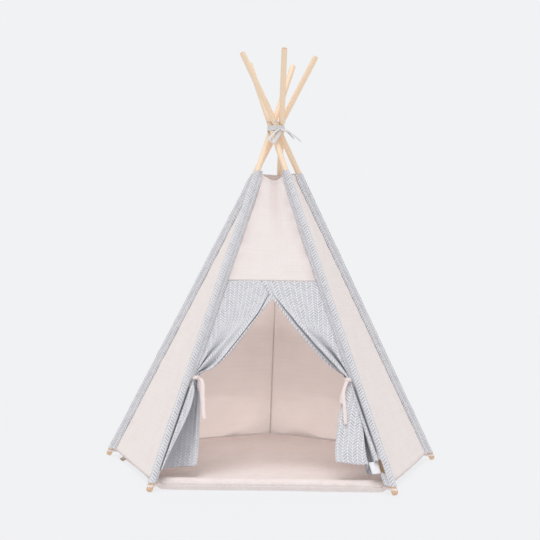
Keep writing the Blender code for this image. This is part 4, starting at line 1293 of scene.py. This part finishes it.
def add_knot(centre, across, outward, size, material):
    """A wrapped turn of ribbon: a short barrel, pinched where the ends come out."""
    axes = Matrix((across, outward, across.cross(outward))).transposed().to_4x4()
    matrix = Matrix.Translation(centre) @ axes
    columns, rows = 28, 14
    wide, deep, tall = (part / 2 for part in size)
    points, cloth = [], []
    for r in range(rows + 1):
        level = math.sin((r / rows * 2 - 1) * math.pi / 2)
        girth = (1 - abs(level) ** 2.6) ** 0.5 if abs(level) < 1 else 0.0
        for a in angles(columns):
            square = 1 / max(abs(math.cos(a)), abs(math.sin(a))) ** 0.45
            crease = 1 - 0.10 * abs(math.sin(3 * level + 2.0 * math.sin(a)))
            reach = girth * square * crease * (0.86 + 0.14 * math.cos(2 * a + 1.0))
            local = Vector((wide * reach * math.cos(a), deep * reach * math.sin(a), tall * level))
            points.append(matrix @ local)
            cloth.append((level * tall, a * wide))
    return add_piece("knot", points, grid_faces(columns, rows, cyclic=True), material, cloth)


# The two loose ends of each curtain's ribbon: distance from the corner, height and lift
TIE_TAILS = {
    "left": (
        ((0.037, 0.369, 0.022), (0.051, 0.350, 0.024), (0.068, 0.303, 0.022), (0.0955, 0.233, 0.020)),
        ((0.034, 0.362, 0.017), (0.047, 0.342, 0.017), (0.064, 0.300, 0.017), (0.091, 0.238, 0.016)),
    ),
    "right": (
        ((0.033, 0.358, 0.021), (0.052, 0.326, 0.023), (0.063, 0.285, 0.023), (0.080, 0.224, 0.021)),
        ((0.036, 0.352, 0.017), (0.056, 0.324, 0.018), (0.072, 0.292, 0.017)),
    ),
}
# The drawn curtain where its ribbon goes round it: distance from the corner and lift
GATHERED_CLOTH = (
    (0.0118, 0.0100),
    (0.0130, 0.0152),
    (0.0255, 0.0135),
    (0.0305, 0.0085),
    (0.0280, -0.0030),
    (0.0190, -0.0045),
)
TIE_KNOT_PLACE = 0.020


def add_tieback(side, corner, other):
    mirrored = corner == FRONT_RIGHT
    body = CORNERS[corner] + "_pole"
    outline = hull_outline(GATHERED_CLOTH, 0.0018)
    lift = max(point.y for point in outline) + 0.0006 + (0.0003 + 0.004) * WALL_STRETCH

    def place(point, rise):
        return front_point(mirrored, point.x, TIE_HEIGHT + rise, point.y)

    def spot(from_corner, rise):
        return front_point(mirrored, from_corner, TIE_HEIGHT + rise, lift)

    band = add_band(f"tie_wrap_{side}", outline, place, TIE_WIDTH, 0.0012, PINK_TAPE, 0.0010, 0.0006)
    finish_piece(band, body, f"tieback_{side}", fold=(corner, other))
    centre = spot(TIE_KNOT_PLACE, 0)
    across = (spot(0.031, 0) - spot(0.021, 0)).normalized()
    up = (spot(TIE_KNOT_PLACE, 0.01) - spot(TIE_KNOT_PLACE, -0.01)).normalized()
    outward = up.cross(across).normalized()
    parts = [add_knot(centre, across, outward, (0.0135, 0.0095, 0.0135), PINK_TAPE)]
    for number, tail in enumerate(TIE_TAILS[side]):
        path = [centre] + [front_point(mirrored, *point) for point in tail]
        turned = Matrix.Rotation(math.radians(8 - 40 * number), 3, "Z")
        widths = [across] + [turned @ across] * (len(path) - 1)
        parts.append(add_ribbon(f"tail_{number}", path, widths, TIE_WIDTH, 0.0009, PINK_TAPE, 0.0008))
    ends = join_pieces(f"tie_knot_{side}", parts)
    finish_piece(ends, body, f"tieback_{side}_ends", fold=(corner, other))


# Floor mat


def flat_angle(point):
    return math.atan2(point.y, point.x)


MAT_CORNER_ANGLE = flat_angle(seam_point(BACK, 0))


def mat_radius(angle):
    turned = (angle - MAT_CORNER_ANGLE + TURN / 2) % TURN - TURN / 2
    straight = MAT_APOTHEM / math.cos(TURN / 2 - abs(turned))
    corner = MAT_APOTHEM / math.cos(TURN / 2) - 0.004
    drawn = 0.006 * (1 - abs(math.cos(math.pi * turned / TURN)))
    soft = -math.log(math.exp(-straight * 90) + math.exp(-corner * 90)) / 90
    return soft - drawn


def mat_profile():
    """Rings from the middle of the underside to the middle of the top, as inset and height."""
    half = MAT_THICKNESS / 2
    profile = [(0.50, 0.0), (0.30, 0.0), (0.12, 0.0), (0.04, 0.0006), (0.018, 0.0012)]
    for step in range(1, 8):
        angle = math.pi / 2 * step / 7
        inset = 0.010 * (1 - math.sin(angle)) ** 0.9
        profile.append((inset, half * 0.98 * (1 - math.cos(angle)) + 0.0008))
    profile.append((0.0014, half))
    for step in range(0, 11):
        angle = math.pi / 2 * step / 10
        inset = 0.0006 + 0.024 * (1 - math.cos(angle))
        profile.append((inset, half + 0.001 + (half - 0.0005) * math.sin(angle)))
    for inset in (0.032, 0.040, 0.048, 0.056, 0.064, 0.074, 0.086, 0.10, 0.13, 0.16, 0.20):
        profile.append((inset, MAT_THICKNESS - 0.0035 + 0.0035 * eased((0.074 - inset) / 0.04)))
    return profile + [(0.24 + 0.04 * step, MAT_THICKNESS - 0.003) for step in range(7)]


def mat_lift(x, y, inset, height, edge):
    """The padding's soft unevenness, its fuller rim and its raised rear."""
    lift = ripple(x * 5.5, y * 5.5, 1.0) * 0.0026 + ripple(x * 16, y * 13, 2.0) * 0.0012
    lift += edge * (ripple(x * 40, y * 40, 5.0) * 0.0016 + 0.0010)
    rear = eased((0.045 - inset) / 0.03) * eased((y + 0.05) / 0.25)
    return lift + rear * MAT_REAR_RISE * height / MAT_THICKNESS


def add_mat():
    """A plush pad: a flat underside, a seam halfway up its edge, and a soft raised rim."""
    around = 560
    profile = mat_profile()
    points = []
    for inset, height in profile:
        edge = eased((0.05 - inset) / 0.05)
        for turned in angles(around):
            angle = MAT_CORNER_ANGLE + turned - 0.4 * math.sin(5 * turned) / 5
            radius = mat_radius(angle)
            radius = radius - inset if inset < 0.2 else radius * (1 - inset / MAT_APOTHEM)
            x, y = radius * math.cos(angle), radius * math.sin(angle)
            pucker = ripple(angle * 34, inset * 60, 3.0) * 0.0016
            pucker += ripple(angle * 90, inset * 60, 8.0) * 0.0013
            lift = mat_lift(x, y, inset, height, edge) if height > MAT_THICKNESS * 0.6 else 0.0
            out = 1 + edge * pucker / max(0.1, radius)
            points.append(Vector((x * out, y * out, max(0.0, height + lift))))
    faces = grid_faces(around, len(profile) - 1, cyclic=True)
    points += [Vector((0, 0, 0)), Vector((0, 0, MAT_THICKNESS))]
    low, high = len(points) - 2, len(points) - 1
    last = (len(profile) - 1) * around
    faces += [(low, (i + 1) % around, i) for i in range(around)]
    faces += [(high, last + i, last + (i + 1) % around) for i in range(around)]
    mat = add_piece("floor_mat", points, faces, PLUSH)
    finish_piece(mat, "mat", "mat")


def add_mat_tie(corner):
    """A loop of tape at the mat's corner, round the foot of its pole."""
    outward = seam_point(corner, 0)
    outward = Vector((outward.x, outward.y, 0)).normalized()
    height = 0.0205
    foot = [pole_section_point(corner, height, a, 0).xy for a in angles(24)]
    spread = 0.0006 + 0.0003
    anchor = outward.xy * (mat_radius(flat_angle(outward)) + 0.0003 + 0.0006 + spread)
    across = Vector((-outward.y, outward.x)) * 0.0045
    outline = hull_outline([*foot, anchor + across, anchor - across], spread)
    middle = pole_axis_point(corner, height).xy
    reach = (anchor - middle).length

    def place(point, rise):
        follow = max(0, 1 - (point - middle).length / reach)
        lean = corner_inward(corner) * LEAN_SLOPE * rise * min(1, 2.2 * follow)
        return Vector((point.x, point.y, height + rise)) + lean

    name = "corner_loop_" + CORNERS[corner]
    tie = add_band(name, outline, place, 0.0062, 0.0010, PINK_TAPE, 0.0008)
    finish_piece(tie, "mat", "mat_tie_" + CORNERS[corner])


# Lacing cord and ribbon at the crossing


def hub_point(corner, inward, sideways, height=HOLE_HEIGHT):
    return corner_inward(corner) * inward + corner_sideways(corner) * sideways + UP * height


def lashing_route():
    """Through each pole's hole, round its outer side and on to the next hole."""
    near, far = TWIST_RADIUS - POLE_RADIUS, TWIST_RADIUS + POLE_RADIUS
    stand_off = 0.0032 * 0.9
    through = (
        (0.0034, near - 0.0037),
        (0.0008, near - 0.0032),
        (0.0, near - 0.0006),
        (0.0, (near + far) / 2),
        (0.0, far + 0.0006),
        (-0.0009, far + 0.0028),
    )
    route = []
    for corner in range(5):
        route += [hub_point(corner, HOLE_INWARD + inward, sideways) for inward, sideways in through]
        for angle in (math.radians(degrees) for degrees in (112, 136, 160, 181)):
            inward = HOLE_INWARD + (POLE_CUT + stand_off) * math.cos(angle)
            sideways = TWIST_RADIUS + (POLE_RADIUS + stand_off) * math.sin(angle)
            route.append(hub_point(corner, inward, sideways))
    return route


def add_lashing_cord():
    def spot(inward, sideways, rise):
        mouth = TWIST_RADIUS + POLE_RADIUS + sideways
        return hub_point(RIGHT_SIDE, HOLE_INWARD + inward, mouth, HOLE_HEIGHT + rise)

    route = spline_through(lashing_route(), 5, cyclic=True)
    ring = [
        spot(0.0019 * math.cos(a), 0.0030 + 0.0013 * math.sin(2 * a), 0.0019 * math.sin(a))
        for a in angles(14)
    ]
    parts = [
        add_tube("cord", route, 0.0016, 12, CORD, cyclic=True),
        add_tube("knot", spline_through(ring, 3, cyclic=True), 0.0014, 10, CORD, cyclic=True),
    ]
    for middle, tip in (
        ((0.002, 0.006, 0.002), (0.003, 0.009, -0.001)),
        ((-0.001, 0.006, -0.001), (-0.002, 0.009, -0.005)),
    ):
        end = [spot(0, 0.003, 0), spot(*middle), spot(*tip)]
        parts.append(add_tube("end", spline_through(end, 6), 0.0012, 10, CORD))
    finish_piece(join_pieces("lacing_cord", parts), "hub", "lashing_cord")


# The bow's hanging loop: right, forward and up from the knot's middle
BOW_LOOP = (
    (0, 0.001, 0),
    (-0.014, 0.005, -0.010),
    (-0.029, 0.008, -0.024),
    (-0.044, 0.012, -0.043),
    (-0.042, 0.018, -0.056),
    (-0.029, 0.018, -0.054),
    (-0.0145, 0.013, -0.034),
    (0, 0.006, -0.012),
    (0.001, 0.003, -0.002),
)


def add_hub_ribbon():
    height = CROSSING_HEIGHT + 0.002
    half = 0.010
    rims = [
        pole_section_point(corner, level, a, 0).xy
        for corner in range(5)
        for level in (height - half, height, height + half)
        for a in angles(16)
    ]
    outline = hull_outline(rims, 0.0007 + 0.0003)

    def place(point, rise):
        return Vector((point.x, point.y, height + rise))

    band = add_band("crossing_band", outline, place, 0.0195, 0.0014, GREY_TAPE, 0.0012, 0.0008)
    finish_piece(band, "hub", "tie_band")
    angle = math.radians(-72)
    outward = Vector((math.cos(angle), math.sin(angle), 0))
    across = UP.cross(outward)
    reach = max(point.dot(outward.xy) for point in outline) + 0.0007 + 0.0003 + 0.0045
    centre = outward * reach + UP * (height - 0.004)

    def spot(right, forward, rise):
        return centre + across * right + outward * forward + UP * rise

    slanted = (across * 0.66 - UP * 0.60 + outward * 0.25).normalized()
    thin = (across * 0.22 - UP * 0.22 + outward * 0.93).normalized()
    widths = [thin] * 3 + [(thin + slanted * 0.7).normalized()] + [slanted] * 5
    loop = [spot(*point) for point in BOW_LOOP]
    parts = [
        add_knot(centre, across, outward, (0.0150, 0.0098, 0.0150), GREY_TAPE),
        add_ribbon("loop", loop, widths, 0.017, 0.0011, GREY_TAPE, 0.0006),
    ]
    level = (outward - UP).normalized()
    for right, rise in ((0.084, -0.044), (0.054, -0.036)):
        end = [
            spot(0.002, 0.007, -0.004),
            spot(right * 0.35, 0.011, rise * 0.28 + 0.003),
            spot(right * 0.7, 0.013, rise * 0.64 + 0.001),
            spot(right, 0.012, rise),
        ]
        parts.append(add_ribbon("end", end, [level] * 4, 0.0160, 0.0011, GREY_TAPE, 0.0005))
    finish_piece(join_pieces("crossing_bow", parts), "hub", "tie_bow")


# Labels


def sleeve_flank_point(share, height, lift):
    edge = sleeve_edge(FRONT_RIGHT, height, False)
    rim = pole_section_point(FRONT_RIGHT, height, math.pi / 2, 0.0012)
    out = (rim - edge).normalized()
    normal = Vector((out.y, -out.x, 0)).normalized()
    if normal.y > 0:
        normal = -normal
    return edge.lerp(rim, share) + normal * lift


def add_label(name, face, grid, material, size, thickness):
    wide, tall = size
    label = add_grid(name, face, *grid, material, lambda u, v: (wide * u, tall * v))
    return thicken(label, thickness)


def add_labels():
    def leather_face(u, v, lift=0.0):
        height = 0.072 + 0.042 * v - 0.002 * u
        share = blended(blended(0.30, 0.48, v), 0.99, u)
        return sleeve_flank_point(share, height, 0.0016 + lift + 0.0006 * math.sin(math.pi * u))

    def care_face(u, v):
        height = 0.069 + 0.037 * v - 0.0045 * u
        start = sleeve_flank_point(0.2, height, 0.0013)
        toward = (wall_point(FRONT, 0, height) - wall_point(FRONT, 0.1, height)).normalized()
        bend = 0.0030 * math.sin(math.pi * u) + 0.0012 * math.sin(2 * math.pi * v) * u
        return start + toward * 0.030 * u + UP.cross(toward) * bend

    tab_top = wall_point(LEFT_SIDE, 0.199, 0.0275, WALL_HALF_CUT + 0.004)
    along_hem = (wall_point(LEFT_SIDE, 0.3, 0.03) - wall_point(LEFT_SIDE, 0.1, 0.03)).normalized()
    tab_across = Matrix.Rotation(math.radians(46), 3, "Z") @ along_hem

    def tab_face(u, v):
        side = (u - 0.5) * (1 - abs(2 * v - 1) ** 1.3)
        bulge = tab_across.cross(UP) * 0.0010 * math.sin(math.pi * u) * math.sin(math.pi * v)
        down = UP * (0.0030 + (1 - v) * 0.0160)
        return tab_top + tab_across * (0.0285 * side - 0.002) - down + bulge

    leather = add_label("leather_label", leather_face, (14, 30), LEATHER, (0.014, 0.044), 0.0009)
    finish_piece(leather, "front_right_pole", "label_leather")
    rows = [[leather_face(0.1 + 0.8 * i / 8, v, 0.0009) for i in range(9)] for v in (0.05, 0.95)]
    sizes = {"Pitch": 0.003, "Length": 0.002, "Thickness": 0.0006}
    sew("stitches_leather", rows, WHITE_THREAD, "front_right_pole", **sizes)
    care = add_label("white_label", care_face, (24, 30), SATIN, (0.030, 0.040), 0.0006)
    finish_piece(care, "front_right_pole", "label_care", fold=(FRONT_RIGHT, FRONT_LEFT))
    tab = add_label("hem_loop", tab_face, (22, 14), TAB_LEATHER, (0.026, 0.015), 0.0020)
    finish_piece(tab, "left_side_pole", "hem_tab", fold=(LEFT_SIDE, FRONT_LEFT))


# Floor, light and camera


def add_stage():
    floor = Material("pale_floor", specular=0.0)
    floor.set_shader(
        Base_Color=(0.10, 0.10, 0.10, 1),
        Roughness=1.0,
        Emission_Color=STUDIO,
        Emission_Strength=0.875,
    )
    corners = [Vector((x, y, -0.0005)) for x, y in ((-60, -60), (60, -60), (60, 60), (-60, 60))]
    add_piece("floor", corners, [(0, 1, 2, 3)], floor.made)
    world = bpy.data.worlds.new("studio")
    world.use_nodes = True
    n = Nodes(world.node_tree)
    seen = world.node_tree.nodes["Background"]
    n.put(seen.inputs["Color"], STUDIO)
    lit = n.add("ShaderNodeBackground", Color=STUDIO_LIGHT, Strength=0.72)
    camera_ray = n.add("ShaderNodeLightPath").outputs["Is Camera Ray"]
    mixed = n.add("ShaderNodeMixShader", (), (camera_ray, lit.outputs[0], seen.outputs[0]))
    n.put(world.node_tree.nodes["World Output"].inputs["Surface"], mixed.outputs[0])
    bpy.context.scene.world = world
    add_sun("key", (-0.10, -0.24, 1.0), 1.42, 34)
    add_sun("fill", (0.45, -1.0, 0.10), 0.16, 60)
    add_light_through_cloth()


def add_sun(name, toward, strength, width):
    """A soft, far light from the direction given, as broad as its width in degrees."""
    data = bpy.data.lights.new(name, "SUN")
    data.energy = strength
    data.angle = math.radians(width)
    light = add_object(name, data)
    light.rotation_euler = Vector(toward).to_track_quat("Z", "Y").to_euler()


def add_light_through_cloth():
    """The glow that the thin walls let in, as dim discs that the camera doesn't see."""
    for name, height, back, size, power, turned in (
        ("glow_up", 0.047, 0.10, 0.90, 0.80, math.pi),
        ("glow_corner", 0.047, 0.52, 0.24, 0.040, math.pi),
        ("glow_middle", 0.49, 0.00, 0.46, 0.40, math.pi),
        ("glow_down", 0.24, 0.10, 0.68, 0.31, 0),
    ):
        data = bpy.data.lights.new(name, "AREA")
        data.shape = "DISK"
        data.size = size
        data.energy = power
        data.color = GLOW
        light = add_object(name, data)
        light.location = (0, back, height)
        light.rotation_euler = (turned, 0, 0)
        light.visible_camera = False


def add_camera():
    data = bpy.data.cameras.new("camera")
    data.sensor_width = 36.0
    data.lens = 67.5
    data.shift_y = 0.0548
    camera = add_object("camera", data)
    camera.location = (-0.157, -3.932, 0.647)
    aim = Vector((0.0365, 0.9993, 0)).to_track_quat("-Z", "Y")
    camera.rotation_mode = "QUATERNION"
    camera.rotation_quaternion = aim @ Matrix.Rotation(0.0148, 4, "Z").to_quaternion()
    bpy.context.scene.camera = camera
    bpy.context.scene.view_settings.view_transform = "Standard"


add_camera()
add_stage()
for corner in range(5):
    add_pole(corner)
    add_sleeve(corner)
add_wall("back_left", BACK, BACK, LEFT_SIDE, BACK_WALL_TOP_HEIGHT)
add_wall("left", LEFT_SIDE, LEFT_SIDE, FRONT_LEFT)
add_wall("right", FRONT_RIGHT, RIGHT_SIDE, FRONT_RIGHT)
add_wall("back_right", RIGHT_SIDE, BACK, RIGHT_SIDE, BACK_WALL_TOP_HEIGHT)
add_front_panel()
add_curtain("left", LEFT_CURTAIN, LEFT_HIDDEN, FRONT_LEFT, FRONT_RIGHT)
add_curtain("right", RIGHT_CURTAIN, RIGHT_HIDDEN, FRONT_RIGHT, FRONT_LEFT)
add_tieback("left", FRONT_LEFT, FRONT_RIGHT)
add_tieback("right", FRONT_RIGHT, FRONT_LEFT)
add_mat()
for corner in range(5):
    add_mat_tie(corner)
add_lashing_cord()
add_hub_ribbon()
add_labels()

bpy.context.view_layer.update()
